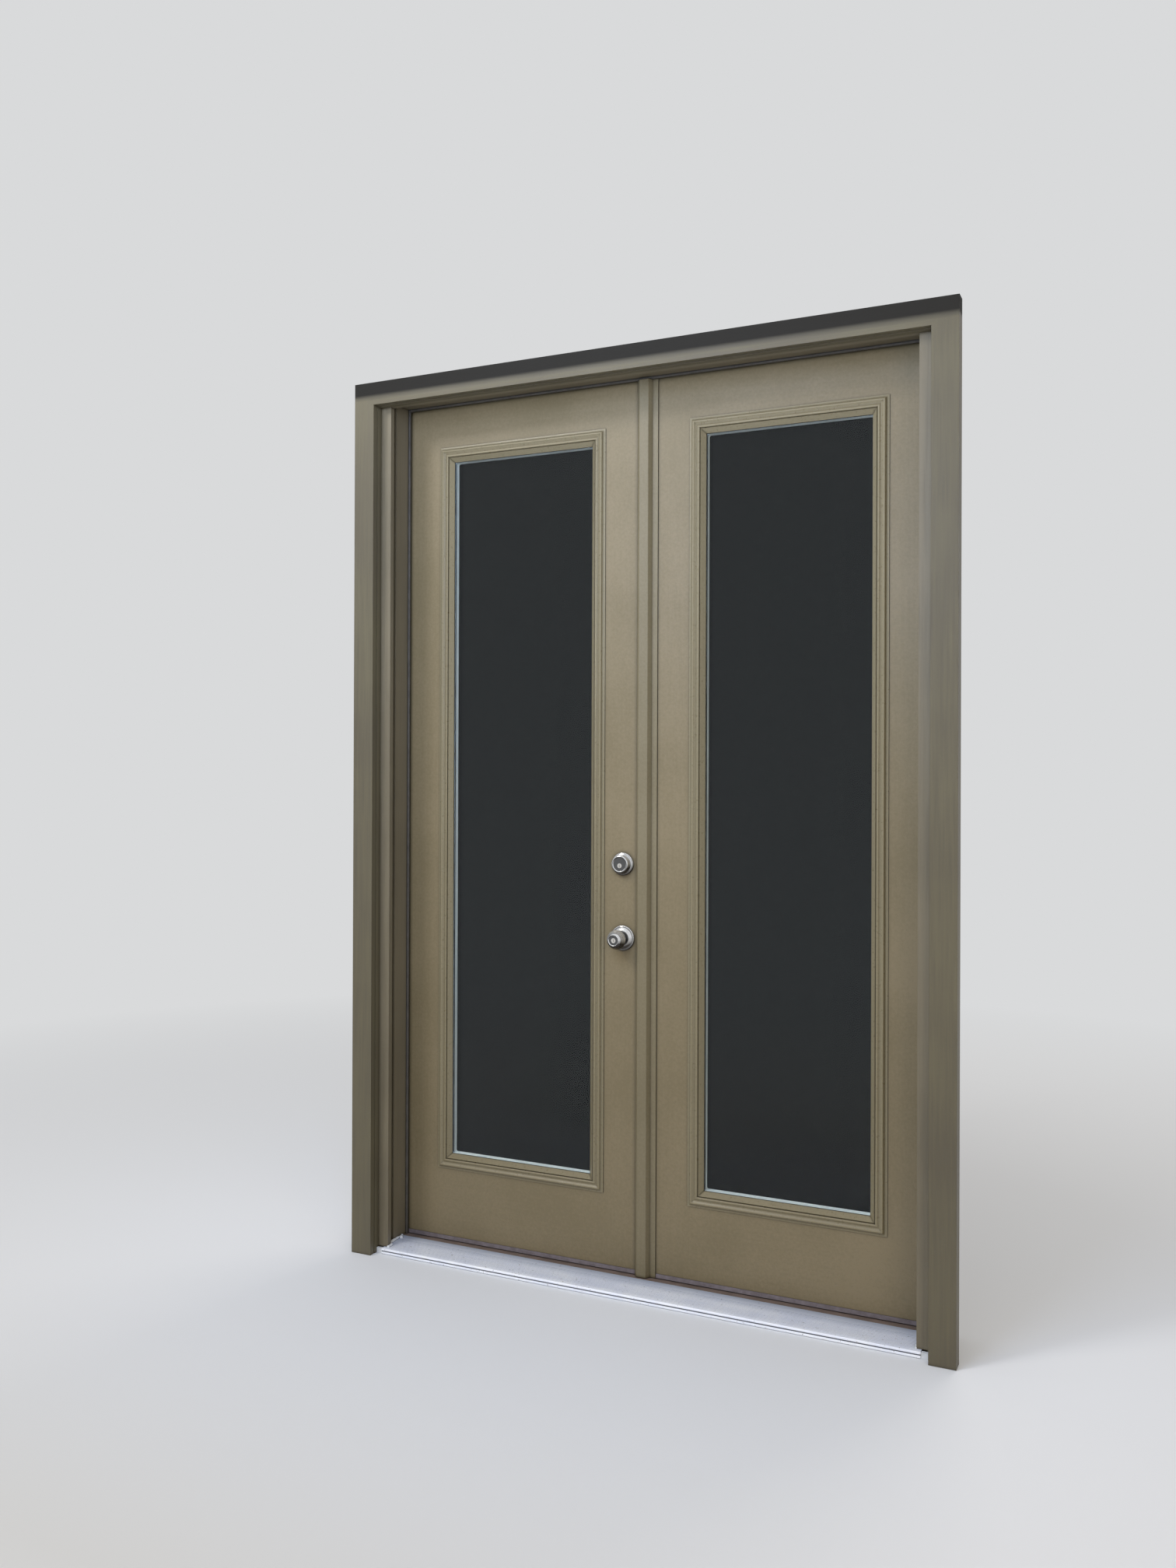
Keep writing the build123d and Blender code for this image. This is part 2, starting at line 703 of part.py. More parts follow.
def keyway(z, out):
    """The slot for the key, just under the middle of a plug's face."""
    tall, wide = KEYWAY_HEIGHT / 2, KEYWAY_WIDTH / 2
    middle = z - KEYWAY_DROP
    near, far = out - KEYWAY_DEEP, out + 1
    return block(lock_x - wide, lock_x + wide, near, far, middle - tall, middle + tall)


def deadbolt_rose():
    """The deadbolt's outer housing: a base ring, a step and a tapered drum."""
    drum, neck = ROSE_RADIUS * 0.79, ROSE_RADIUS * 0.82
    outline = Polyline((0, 0), (ROSE_RADIUS, 0), (ROSE_RADIUS, 3.0))
    outline += ThreePointArc((ROSE_RADIUS, 3.0), (ROSE_RADIUS - 1.2, 5.4), (ROSE_RADIUS - 3.6, 6.4))
    outline += Polyline((ROSE_RADIUS - 3.6, 6.4), (neck, 7.2), (drum, ROSE_OUT - 4.0))
    outline += ThreePointArc((drum, ROSE_OUT - 4.0), (drum - 1.4, ROSE_OUT - 1.2), (drum - 4.4, ROSE_OUT))
    outline += Polyline((drum - 4.4, ROSE_OUT), (drum - 6.4, ROSE_OUT - 1.2), (0, ROSE_OUT - 1.2), (0, 0))
    rose = turned(outline, lock_x, bolt_z + ROSE_RISE, 0)
    return rose - rod(lock_x, bolt_z, PLUG_RADIUS + PLUG_PLAY, ROSE_OUT + 1, -1)


def deadbolt_plug():
    """The key plug of the deadbolt and the flat tailpiece behind it."""
    face = ROSE_OUT - 0.8
    plug = rod(lock_x, bolt_z, PLUG_RADIUS, face, 1.0) - keyway(bolt_z, face)
    end = inner_face - INNER_PLATE_THICK
    half = TAIL_WIDTH / 2
    thick = TAIL_THICK / 2
    tail = block(lock_x - thick, lock_x + thick, end, 1.0, bolt_z - half, bolt_z + half)
    return plug + tail


def deadbolt_inner_plate():
    """The round plate under the thumbturn."""
    rim = INNER_PLATE_RADIUS - 3.0
    outline = Polyline((0, 0), (INNER_PLATE_RADIUS, 0), (INNER_PLATE_RADIUS, INNER_PLATE_THICK - 3.0))
    outline += ThreePointArc(
        (INNER_PLATE_RADIUS, INNER_PLATE_THICK - 3.0),
        (INNER_PLATE_RADIUS - 0.9, INNER_PLATE_THICK - 0.9),
        (rim, INNER_PLATE_THICK),
    )
    outline += Polyline((rim, INNER_PLATE_THICK), (0, INNER_PLATE_THICK), (0, 0))
    plate = turned_inside(turned(outline, lock_x, bolt_z, 0))
    hole = THUMB_HUB_RADIUS + SHANK_PLAY
    return plate - rod(lock_x, bolt_z, hole, inner_face + 1, inner_face - INNER_PLATE_THICK - 1)


def thumbturn():
    """The thumbturn: a hub through the plate and a wing to hold."""
    deep = inner_face - INNER_PLATE_THICK
    hub = rod(lock_x, bolt_z, THUMB_HUB_RADIUS, inner_face, deep - 3.0)
    half = THUMB_WING_LENGTH / 2
    thick = THUMB_WING_THICK / 2
    far = deep - THUMB_WING_OUT
    wing = block(lock_x - thick, lock_x + thick, far, deep - 2.0, bolt_z - half, bolt_z + half)
    wing = fillet(wing.edges().filter_by(Axis.X), THUMB_WING_ROUND)
    wide, tall = TAIL_THICK / 2, TAIL_WIDTH / 2
    slot = block(lock_x - wide, lock_x + wide, deep, inner_face + 1, bolt_z - tall, bolt_z + tall)
    return hub + wing - slot


def knob_rose():
    """The rose round the knob's shank: a rim and a low dome."""
    hole = SHANK_RADIUS + SHANK_PLAY
    rim = KNOB_ROSE_RADIUS
    outline = Polyline((hole, 0), (rim, 0), (rim, 2.4))
    outline += ThreePointArc((rim, 2.4), (rim - 1.0, 4.4), (rim - 3.2, 5.2))
    outline += Line((rim - 3.2, 5.2), (rim - 5.0, 5.6))
    outline += ThreePointArc((rim - 5.0, 5.6), (rim - 10.0, 9.2), (hole + 4.0, KNOB_ROSE_OUT))
    outline += Polyline((hole + 4.0, KNOB_ROSE_OUT), (hole, KNOB_ROSE_OUT), (hole, 0))
    return turned(outline, lock_x, knob_z, 0)


def knob_body():
    """A knob on its shank: neck, full belly and a dished face."""
    neck = SHANK_RADIUS - 1.0
    belly, front = KNOB_RADIUS, KNOB_OUT
    shank_end = KNOB_ROSE_OUT + 4.0
    neck_end = (neck, shank_end + 5.0)
    low_belly = (belly - 1.6, front - 28.0)
    high_belly = (belly - 3.0, front - 12.0)
    rim = (belly - 11.5, front)
    outline = Polyline((0, -10), (SHANK_RADIUS, -10), (SHANK_RADIUS, shank_end), neck_end)
    outline += ThreePointArc(neck_end, (belly - 7.5, front - 38.0), low_belly)
    outline += ThreePointArc(low_belly, (belly, front - 21.0), high_belly)
    outline += ThreePointArc(high_belly, (belly - 8.0, front - 3.2), rim)
    outline += Polyline(rim, (belly - 13.2, front - 1.6), (0, front - 1.6), (0, -10))
    return turned(outline, lock_x, knob_z, 0)


def knob_pieces():
    """The outer knob with its spindle and key plug, and the inner knob."""
    body = knob_body()
    face = KNOB_OUT - 1.2
    spindle_end = inner_face - 6.0
    outer = body + rod(lock_x, knob_z, SPINDLE_RADIUS, -9, spindle_end)
    outer -= rod(lock_x, knob_z, PLUG_RADIUS + PLUG_PLAY, KNOB_OUT + 1, face - PLUG_LENGTH)
    plug = rod(lock_x, knob_z, PLUG_RADIUS, face, face - PLUG_LENGTH) - keyway(knob_z, face)
    inner = turned_inside(body) - rod(lock_x, knob_z, SPINDLE_RADIUS + PIN_PLAY, 0, spindle_end)
    return outer, inner, plug


# Astragal and slide bolts, on the right leaf


def slide_section(play):
    """The T-shaped plan of a slide bolt or, with some play, of its channel."""
    back = slab_half - SLIDE_FLOOR
    ledge = back - SLIDE_WIDE_THICK - play
    return back + play, ledge, SLIDE_WIDE / 2 + play, SLIDE_NECK / 2 + play


def slide_bar(z0, z1, play, mouth):
    """A T-shaped length of slide bolt, or of the channel round it."""
    floor, ledge, wide, neck = slide_section(play)
    head = block(ledge, floor, mid_slab - wide, mid_slab + wide, z0, z1)
    return head + block(mouth, ledge, mid_slab - neck, mid_slab + neck, z0, z1)


def slide_pocket(z0, z1):
    """The pocket that a thrown slide bolt enters."""
    floor = slab_half - SLIDE_FLOOR + POCKET_PLAY
    wide = SLIDE_WIDE / 2 + POCKET_PLAY
    return block(stem_face - POCKET_PLAY, floor, mid_slab - wide, mid_slab + wide, z0, z1)


def foot_pocket():
    """The pocket in the cap and base under the lower slide bolt."""
    low = SLAB_FOOT + SLIDE_END - SLIDE_THROW - POCKET_PLAY
    return slide_pocket(low, SLAB_FOOT)


def astragal_face():
    """The outdoor part of the astragal: a flange over both leaves and a bevelled boss."""
    outline = Polyline(
        (stem_face, place_y(0)),
        (stem_face, place_y(FLANGE_GAP)),
        (-FLANGE_LEFT, place_y(FLANGE_GAP)),
        (-FLANGE_LEFT, place_y(FLANGE_THICK)),
        (-BOSS_LEFT, place_y(BOSS_OUT)),
        (BOSS_RIGHT, place_y(BOSS_OUT)),
        (BOSS_FOOT_RIGHT, place_y(FLANGE_THICK)),
        (FLANGE_RIGHT, place_y(FLANGE_THICK)),
        (FLANGE_RIGHT, place_y(0)),
        close=True,
    )
    face = make_face(outline)
    face = fillet(face.vertices().group_by(Axis.Y)[0], BOSS_ROUND)
    top = head_stop - BULB_REACH - BULB_GAP
    return extrude(Pos(0, 0, astragal_foot) * face, amount=top - astragal_foot, dir=(0, 0, 1))


def astragal_stem():
    """The stem on the leaf's edge, with the channels of its slide bolts and the ways of the lock."""
    stem = block(stem_face, slab_half, inner_face, 0, astragal_foot, slab_top)
    upper_end = slab_top - SLIDE_END - SLIDE_LENGTH - POCKET_PLAY
    lower_end = SLAB_FOOT + SLIDE_END + SLIDE_LENGTH + SLIDE_THROW + POCKET_PLAY
    stem -= slide_bar(upper_end, slab_top + 1, SLIDE_PLAY, stem_face - 1)
    stem -= slide_bar(astragal_foot - 1, lower_end, SLIDE_PLAY, stem_face - 1)
    return stem - strike_seat(knob_z) - strike_seat(bolt_z) - latch_way() - bolt_way()


def slide_bolt(z0):
    """One slide bolt, with a shallow recess for the finger."""
    z1 = z0 + SLIDE_LENGTH
    face = stem_face + SLIDE_PLAY
    bar = slide_bar(z0, z1, 0, face)
    middle = (z0 + z1) / 2
    half = FINGER_LENGTH / 2
    wide = FINGER_WIDTH / 2
    near, far = mid_slab - wide, mid_slab + wide
    recess = block(face - 1, face + FINGER_DEEP, near, far, middle - half, middle + half)
    return bar - recess


def strike_seat(z):
    """The seat of a strike in the stem."""
    wide, tall = STRIKE_WIDE / 2 + MORTISE_PLAY, STRIKE_TALL / 2 + MORTISE_PLAY
    near, far = mid_slab - wide, mid_slab + wide
    return block(stem_face - 1, stem_face + STRIKE_THICK, near, far, z - tall, z + tall)


def latch_way():
    """The way of the latch through its strike and the stem."""
    wide, tall = LATCH_DEEP / 2 + POCKET_PLAY, LATCH_TALL / 2 + POCKET_PLAY
    near, far = mid_slab - wide, mid_slab + wide
    return block(stem_face - 1, slab_half + 1, near, far, knob_z - tall, knob_z + tall)


def bolt_way():
    """The way of the deadbolt through its strike, the stem and into the stile."""
    end = lock_edge - BOLT_SETBACK + BOLT_THROW + 2 * POCKET_PLAY
    half = BOLT_RADIUS + POCKET_PLAY
    near, far = mid_slab - half, mid_slab + half
    return block(stem_face - 1, end, near, far, bolt_z - half, bolt_z + half)


def strikes():
    """The two strikes let into the stem."""
    plates = []
    for z in (knob_z, bolt_z):
        near, far = mid_slab - STRIKE_WIDE / 2, mid_slab + STRIKE_WIDE / 2
        low, high = z - STRIKE_TALL / 2, z + STRIKE_TALL / 2
        plate = block(stem_face, stem_face + STRIKE_THICK, near, far, low, high)
        plates.append(plate - latch_way() - bolt_way())
    return together(plates)


def frame_nodes():
    """Every fixed piece by name."""
    nodes = {}
    left_jamb = jamb()
    nodes["jamb_left"] = together(left_jamb)
    nodes["jamb_right"] = together([mirrored(piece) for piece in left_jamb])
    nodes["head_jamb"] = together(head_jamb())
    half, soffit = casing_half, casing_soffit
    layers = {
        "brickmould": mould_pieces(),
        "strip": strip_pieces(),
        "backer": casing_pieces(half - BACKER_SHOWS, soffit - BACKER_SHOWS, strip_out, backer_out),
        "casing": casing_pieces(half, soffit, backer_out, casing_out),
    }
    for name, (leg, head) in layers.items():
        nodes[f"{name}_left"] = leg
        nodes[f"{name}_right"] = mirrored(leg)
        nodes[f"{name}_head"] = head
    nodes["sill_base"] = sill_base()
    nodes["sill_deck"] = sill_deck()
    nodes["sill_cap"] = sill_cap()
    nodes["sill_sealant"] = sealant()
    nodes["weatherstrip"] = weatherstrip()
    plates = [hinge_half(-rabbet_half, -rabbet_half - HINGE_PLATE, z, 0) for z in hinge_heights()]
    pins = [hinge_pin(z) for z in hinge_heights()]
    nodes["hinge_jamb_plates"] = together(plates + [mirrored(plate) for plate in plates])
    nodes["hinge_pins"] = together(pins + [mirrored(pin) for pin in pins])
    return nodes


def leaf_nodes():
    """The pieces that both leaves have, made on the left and mirrored to the right."""
    nodes = {}
    top, bottom = rails()
    lite_lengths = lite_frame()
    panes, spacer, seal = glass_unit()
    plates = [hinge_half(-hinge_edge, -hinge_edge + HINGE_PLATE, z, 1) for z in hinge_heights()]
    bulb_tip = stop_half - BULB_REACH - SWEEP_CLEAR
    pieces = {
        "hinge_stile": hinge_stile(),
        "top_rail": top,
        "bottom_rail": bottom,
        "lite_frame_outside": together(lite_lengths),
        "lite_frame_inside": together([turned_inside(length) for length in lite_lengths]),
        "panes": panes,
        "spacer": spacer,
        "glazing_seal": seal,
        "hinge_leaf_plates": together(plates),
    }
    for name, piece in pieces.items():
        nodes[f"left_{name}"] = piece
        nodes[f"right_{name}"] = mirrored(piece)
    nodes["left_sweep"] = sweep(-hinge_edge, -slab_half, -bulb_tip, -FLANGE_LEFT - SWEEP_CLEAR)
    nodes["right_sweep"] = sweep(slab_half, hinge_edge, FLANGE_RIGHT + SWEEP_CLEAR, bulb_tip)
    nodes["left_lock_stile"] = bored_lock_stile()
    nodes["right_lock_stile"] = mirrored(plain_lock_stile()) - bolt_way()
    return nodes


def lock_nodes():
    """The knob set and the deadbolt on the left leaf."""
    nodes = {}
    nodes["latch_bolt"], nodes["latch_case"] = latch()
    nodes["deadbolt"], nodes["deadbolt_case"] = deadbolt()
    nodes["deadbolt_rose"] = deadbolt_rose()
    nodes["deadbolt_plug"] = deadbolt_plug()
    nodes["deadbolt_inner_plate"] = deadbolt_inner_plate()
    nodes["thumbturn"] = thumbturn()
    rose = knob_rose()
    nodes["knob_roses"] = together([rose, turned_inside(rose)])
    nodes["knob_outer"], nodes["knob_inner"], nodes["knob_plug"] = knob_pieces()
    return nodes


def astragal_nodes():
    """The astragal on the right leaf, its slide bolts and its strikes."""
    nodes = {"astragal": together([astragal_face(), astragal_stem()]), "strikes": strikes()}
    nodes["slide_bolt_top"] = slide_bolt(slab_top - SLIDE_END - SLIDE_LENGTH)
    nodes["slide_bolt_foot"] = slide_bolt(SLAB_FOOT + SLIDE_END)
    return nodes


os.makedirs("parts", exist_ok=True)
for group in (frame_nodes(), leaf_nodes(), lock_nodes(), astragal_nodes()):
    for node, shape in group.items():
        export_step(shape, f"parts/{node}.step")
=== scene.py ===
# %% [markdown]
# # A pair of painted french doors
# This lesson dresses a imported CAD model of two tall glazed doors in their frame. The doors are painted
# olive brown, they stand in a stepped timber surround over a ribbed aluminium sill, and the left one has
# a nickel knob and deadbolt. The CAD model already has every board, moulding, pane and bolt, so most of
# the work here is in finishes, and in small things that repeat, such as screws.

import math

import bpy
import numpy as np
from mathutils import Matrix, Vector


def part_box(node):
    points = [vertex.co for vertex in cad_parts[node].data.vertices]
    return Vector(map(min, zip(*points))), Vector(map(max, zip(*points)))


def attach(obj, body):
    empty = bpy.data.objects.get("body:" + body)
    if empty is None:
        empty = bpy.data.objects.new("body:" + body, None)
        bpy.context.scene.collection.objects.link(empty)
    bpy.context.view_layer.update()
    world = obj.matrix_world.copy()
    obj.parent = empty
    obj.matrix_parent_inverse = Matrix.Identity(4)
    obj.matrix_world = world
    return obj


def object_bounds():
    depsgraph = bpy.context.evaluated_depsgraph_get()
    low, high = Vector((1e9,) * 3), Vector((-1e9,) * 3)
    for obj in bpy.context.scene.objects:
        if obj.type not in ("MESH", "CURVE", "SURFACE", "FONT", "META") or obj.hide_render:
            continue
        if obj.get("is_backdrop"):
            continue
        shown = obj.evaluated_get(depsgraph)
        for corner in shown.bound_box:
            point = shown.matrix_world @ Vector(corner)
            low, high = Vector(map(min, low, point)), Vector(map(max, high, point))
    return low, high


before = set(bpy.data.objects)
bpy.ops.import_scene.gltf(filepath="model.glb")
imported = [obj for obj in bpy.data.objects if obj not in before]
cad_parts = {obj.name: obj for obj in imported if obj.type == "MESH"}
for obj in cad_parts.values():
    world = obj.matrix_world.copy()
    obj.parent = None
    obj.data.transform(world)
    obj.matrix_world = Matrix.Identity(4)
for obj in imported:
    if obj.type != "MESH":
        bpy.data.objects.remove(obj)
cad_low, cad_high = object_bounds()
MM = 0.001
print("nodes:", len(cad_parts))

# %% [markdown]
# ## Camera
# The viewer stands outdoors, right of the doorway, and looks left across it with the camera almost level.
# The angles and the distance were fitted to the corners of the two glazed frames, with stock door sizes
# taken as their real ones. Several focal lengths fit about as well, and one of them was picked. A small
# lens shift keeps the upright lines upright, as in the photograph.

# %% The camera at the photograph's viewing angle
IMAGE_WIDTH, IMAGE_HEIGHT = 1512, 2016
SENSOR = 36.0
FOCAL_PIXELS = 1670.0
CENTRE_X, CENTRE_Y = 731.74, 989.93
TILT, TURN, ROLL = -0.0020, 0.4478, 0.0037
EYE = (1.3241, -3.1909, 1.3704)


def camera_turn(tilt, turn, roll):
    """The rotation from Blender's camera axes to the scene's axes."""
    to_view = Matrix.Rotation(roll, 3, "Z") @ Matrix.Rotation(tilt, 3, "X") @ Matrix.Rotation(turn, 3, "Y")
    base = Matrix(((1, 0, 0), (0, 0, -1), (0, 1, 0)))
    flip = Matrix(((1, 0, 0), (0, -1, 0), (0, 0, -1)))
    return (flip @ to_view @ base).transposed()


camera = bpy.data.objects.new("photo camera", bpy.data.cameras.new("photo camera"))
bpy.context.scene.collection.objects.link(camera)
camera.data.sensor_width = SENSOR
camera.data.lens = FOCAL_PIXELS / IMAGE_HEIGHT * SENSOR
camera.data.shift_x = (IMAGE_WIDTH / 2 - CENTRE_X) / IMAGE_HEIGHT
camera.data.shift_y = (CENTRE_Y - IMAGE_HEIGHT / 2) / IMAGE_HEIGHT
camera.matrix_world = Matrix.Translation(EYE) @ camera_turn(TILT, TURN, ROLL).to_4x4()
bpy.context.scene.camera = camera
bpy.context.scene.view_settings.view_transform = "Standard"
print("lens", round(camera.data.lens, 2), "mm")

# %% [markdown]
# ## Colours and nodes
# Colours are written as sRGB hex, as a paint shop would name them, and one function turns them into the
# linear numbers that Blender's nodes work in. Another small function adds a node, sets its options and
# joins its inputs, so that each finish below reads like a recipe.

# %% Helpers for colours and nodes


def linear(code):
    """A linear RGBA colour from an sRGB hex code."""
    parts = [int(code[place:place + 2], 16) / 255 for place in (1, 3, 5)]
    return tuple(c / 12.92 if c <= 0.04045 else ((c + 0.055) / 1.055) ** 2.4 for c in parts) + (1.0,)


def add(tree, kind, options=None, inputs=None):
    """One node with its options set. An input is a value, or an output socket to link from."""
    made = tree.nodes.new(kind)
    for name, value in (options or {}).items():
        setattr(made, name, value)
    for name, value in (inputs or {}).items():
        socket = made.inputs[name]
        if isinstance(value, bpy.types.NodeSocket):
            tree.links.new(value, socket)
        else:
            socket.default_value = value
    return made


def new_finish(name, roughness, metallic=0.0):
    """An empty material: its tree, its main shader and the object's own coordinates in metres."""
    made = bpy.data.materials.new(name)
    made.use_nodes = True
    tree = made.node_tree
    shader = tree.nodes["Principled BSDF"]
    shader.inputs["Roughness"].default_value = roughness
    shader.inputs["Metallic"].default_value = metallic
    place = add(tree, "ShaderNodeTexCoord").outputs["Object"]
    return made, tree, shader, place


def scaled(tree, place, scale):
    """Coordinates stretched by a scale for each axis."""
    return add(tree, "ShaderNodeMapping", {}, {"Vector": place, "Scale": scale}).outputs["Vector"]


def noise(tree, place, scale, detail=3.0, roughness=0.5):
    """Soft noise from 0 to 1, with its scale in waves to the metre."""
    sockets = {"Vector": place, "Scale": scale, "Detail": detail, "Roughness": roughness}
    return add(tree, "ShaderNodeTexNoise", {}, sockets).outputs["Fac"]


def ramp(tree, value, low, high, to_low=0.0, to_high=1.0):
    """A value mapped from one range to another, clamped at both ends."""
    sockets = {"Value": value, "From Min": low, "From Max": high, "To Min": to_low, "To Max": to_high}
    return add(tree, "ShaderNodeMapRange", {}, sockets).outputs["Result"]


def math_node(tree, operation, first, second=0.0):
    """One sum."""
    return add(tree, "ShaderNodeMath", {"operation": operation}, {0: first, 1: second}).outputs[0]


def blend(tree, first, share, second, other):
    """Two values added, each times its own share."""
    weighed = [math_node(tree, "MULTIPLY", value, part) for value, part in ((first, share), (second, other))]
    return math_node(tree, "ADD", *weighed)


def mix(tree, share, first, second):
    """Two colours mixed by a share from 0 to 1."""
    made = add(tree, "ShaderNodeMix", {"data_type": "RGBA"}, {"Factor": share})
    for socket, value in ((made.inputs[6], first), (made.inputs[7], second)):
        if isinstance(value, bpy.types.NodeSocket):
            tree.links.new(value, socket)
        else:
            socket.default_value = linear(value)
    return made.outputs[2]


def painted_crease_shade(tree, colour, tone, reach, low=0.25, high=0.85):
    """Painted shade: a colour that darkens to a tone in grooves and along joints, where little open sky reaches.
    """
    inputs = {"Distance": reach}
    open_sky = add(tree, "ShaderNodeAmbientOcclusion", {"samples": 12}, inputs).outputs["AO"]
    return mix(tree, ramp(tree, open_sky, low, high), tone, colour)


def relief(tree, shader, height, depth, edge=0.0, strength=1.0):
    """Small relief from a height map, in metres of depth, over edges that are eased by a radius."""
    sockets = {"Height": height, "Distance": depth, "Strength": strength}
    if edge > 0:
        eased = add(tree, "ShaderNodeBevel", {"samples": 6}, {"Radius": edge})
        sockets["Normal"] = eased.outputs["Normal"]
    bump = add(tree, "ShaderNodeBump", {}, sockets)
    tree.links.new(bump.outputs["Normal"], shader.inputs["Normal"])


def dress(material, *nodes):
    """The material on CAD nodes."""
    for name in nodes:
        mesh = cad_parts[name].data
        mesh.materials.clear()
        mesh.materials.append(material)
    print(material.name, "->", ", ".join(nodes))


# %% [markdown]
# ## Paint
# Everything but the glass, the sill and the metal has the same house paint: satin acrylic in olive brown.
# On the door skins it lies smooth with a faint roller stipple. On the timber boards a brush drew it out
# along the length, so the marks run up the legs and across the heads. Real brush marks are about one
# millimetre wide, too fine to show here, so they are drawn about six times coarser and very weak.
# The boards and the outer casing have darker copies of the same paint, which is painted shade.
# The outer casing is darker along its top, a painted shade where the head sits in shadow.
# Painted shade in the grooves and joints is what makes a moulding's lines read from far off. Blender's
# Ambient Occlusion node finds the places that a finger can't reach, and a dark tone is mixed in there.

# %% Satin acrylic paint
UPRIGHT, LEVEL = (1.0, 1.0, 0.03), (0.03, 1.0, 1.0)
BRUSH_PITCH = 0.006
STIPPLE_PITCH = 0.007
CLOUD_SIZE = 0.35
CHIP_SIZE = 0.045
# The groove tone and the near black top tone are painted shade; the primer shows in real chips.
CREASE_SHADE, PRIMER, TOP_SHADE_TONE = "#37301f", "#d8d4c8", "#24221e"
# For each kind of part: the reach of the painted crease shade, and the open sky over which it fades.
BOARD_CREASE_SHADE = (9 * MM, 0.3, 0.96)
SKIN_CREASE_SHADE = (12 * MM, 0.5, 0.98)
LITE_CREASE_SHADE = (6 * MM, 0.62, 0.98)
ASTRAGAL_CREASE_SHADE = (10 * MM, 0.45, 0.97)
CHIP_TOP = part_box("left_bottom_rail")[0].z + 5 * MM
casing_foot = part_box("casing_head")[0].z
# Painted shade along the casing's top fades in between these heights.
TOP_SHADE_START, TOP_SHADE_END = casing_foot + 12 * MM, casing_foot + 30 * MM


def satin_paint(name, light, dark, grain, roughness=0.4, brush=0.5, edge=0.4, chip_top=None,
                crease_shade=BOARD_CREASE_SHADE, shaded_top=False):
    """Satin acrylic paint, brushed along the grain, uneven in tone, with chips low down, painted shade high up
    when asked for, and painted shade in its creases.
    """
    made, tree, shader, place = new_finish(name, roughness)
    strokes = noise(tree, scaled(tree, place, grain), 1 / BRUSH_PITCH, 3.0, 0.6)
    stipple = noise(tree, place, 1 / STIPPLE_PITCH, 3.0, 0.65)
    clouds = noise(tree, place, 1 / CLOUD_SIZE, 3.0)
    marks = blend(tree, strokes, brush, stipple, 1 - brush)
    share = blend(tree, clouds, 0.5, marks, 0.5)
    colour = mix(tree, ramp(tree, share, 0.4, 0.6), dark, light)
    shine = ramp(tree, marks, 0.35, 0.65, roughness - 0.06, roughness + 0.08)
    if chip_top:
        height = add(tree, "ShaderNodeSeparateXYZ", {}, {"Vector": place}).outputs["Z"]
        low_down = math_node(tree, "LESS_THAN", height, chip_top)
        chip_noise = noise(tree, place, 1 / CHIP_SIZE, 3.0, 0.7)
        chips = math_node(tree, "MULTIPLY", low_down, ramp(tree, chip_noise, 0.56, 0.58))
        colour = mix(tree, chips, colour, PRIMER)
    # Painted shade: the top of the piece darkens to a near black tone, and its sheen goes.
    if shaded_top:
        height = add(tree, "ShaderNodeSeparateXYZ", {}, {"Vector": place}).outputs["Z"]
        top_shade = ramp(tree, height, TOP_SHADE_START, TOP_SHADE_END)
        colour = mix(tree, top_shade, colour, TOP_SHADE_TONE)
        shine = math_node(tree, "MAXIMUM", shine, math_node(tree, "MULTIPLY", top_shade, 0.95))
    # Painted shade in grooves and joints, found by ambient occlusion.
    colour = painted_crease_shade(tree, colour, CREASE_SHADE, *crease_shade)
    tree.links.new(colour, shader.inputs["Base Color"])
    tree.links.new(shine, shader.inputs["Roughness"])
    relief(tree, shader, marks, 0.5 * MM, edge * MM, 0.7)
    return made


PAINT = "satin acrylic paint on "
SKIN, LITE, ASTRAGAL = ("#7f7257", "#73674c"), ("#83795e", "#7d7359"), ("#7b7158", "#70664d")
# The boards and the casing are darker copies of the door's paint: painted shade.
BOARD_SHADED, CASING_SHADED = ("#756c58", "#69614f"), ("#625b46", "#575040")
skin_paint = satin_paint(PAINT + "door skin", *SKIN, UPRIGHT, 0.38, 0.25, crease_shade=SKIN_CREASE_SHADE)
rail_paint = satin_paint(PAINT + "door rails", *SKIN, LEVEL, 0.38, 0.25, chip_top=CHIP_TOP, crease_shade=SKIN_CREASE_SHADE)
lite_paint = satin_paint(PAINT + "moulded frame", *LITE, UPRIGHT, 0.33, 0.0, 0.2, crease_shade=LITE_CREASE_SHADE)
astragal_paint = satin_paint(PAINT + "astragal", *ASTRAGAL, UPRIGHT, 0.36, 0.2, crease_shade=ASTRAGAL_CREASE_SHADE)
leg_paint = satin_paint(PAINT + "pine legs", *BOARD_SHADED, UPRIGHT, 0.42, 0.8)
head_paint = satin_paint(PAINT + "pine heads", *BOARD_SHADED, LEVEL, 0.42, 0.8)
casing_paint = satin_paint(PAINT + "casing boards", *CASING_SHADED, UPRIGHT, 0.46, 0.8, shaded_top=True)
casing_head_paint = satin_paint(PAINT + "casing head", *CASING_SHADED, LEVEL, 0.5, 0.8, shaded_top=True)

for side in ("left", "right"):
    dress(skin_paint, f"{side}_hinge_stile", f"{side}_lock_stile")
    dress(rail_paint, f"{side}_top_rail", f"{side}_bottom_rail")
    dress(lite_paint, f"{side}_lite_frame_outside", f"{side}_lite_frame_inside")
    dress(leg_paint, *[f"{part}_{side}" for part in ("jamb", "brickmould", "strip")])
    dress(casing_paint, f"backer_{side}", f"casing_{side}")
dress(head_paint, "head_jamb", "brickmould_head", "strip_head")
dress(casing_head_paint, "backer_head", "casing_head")
dress(astragal_paint, "astragal")

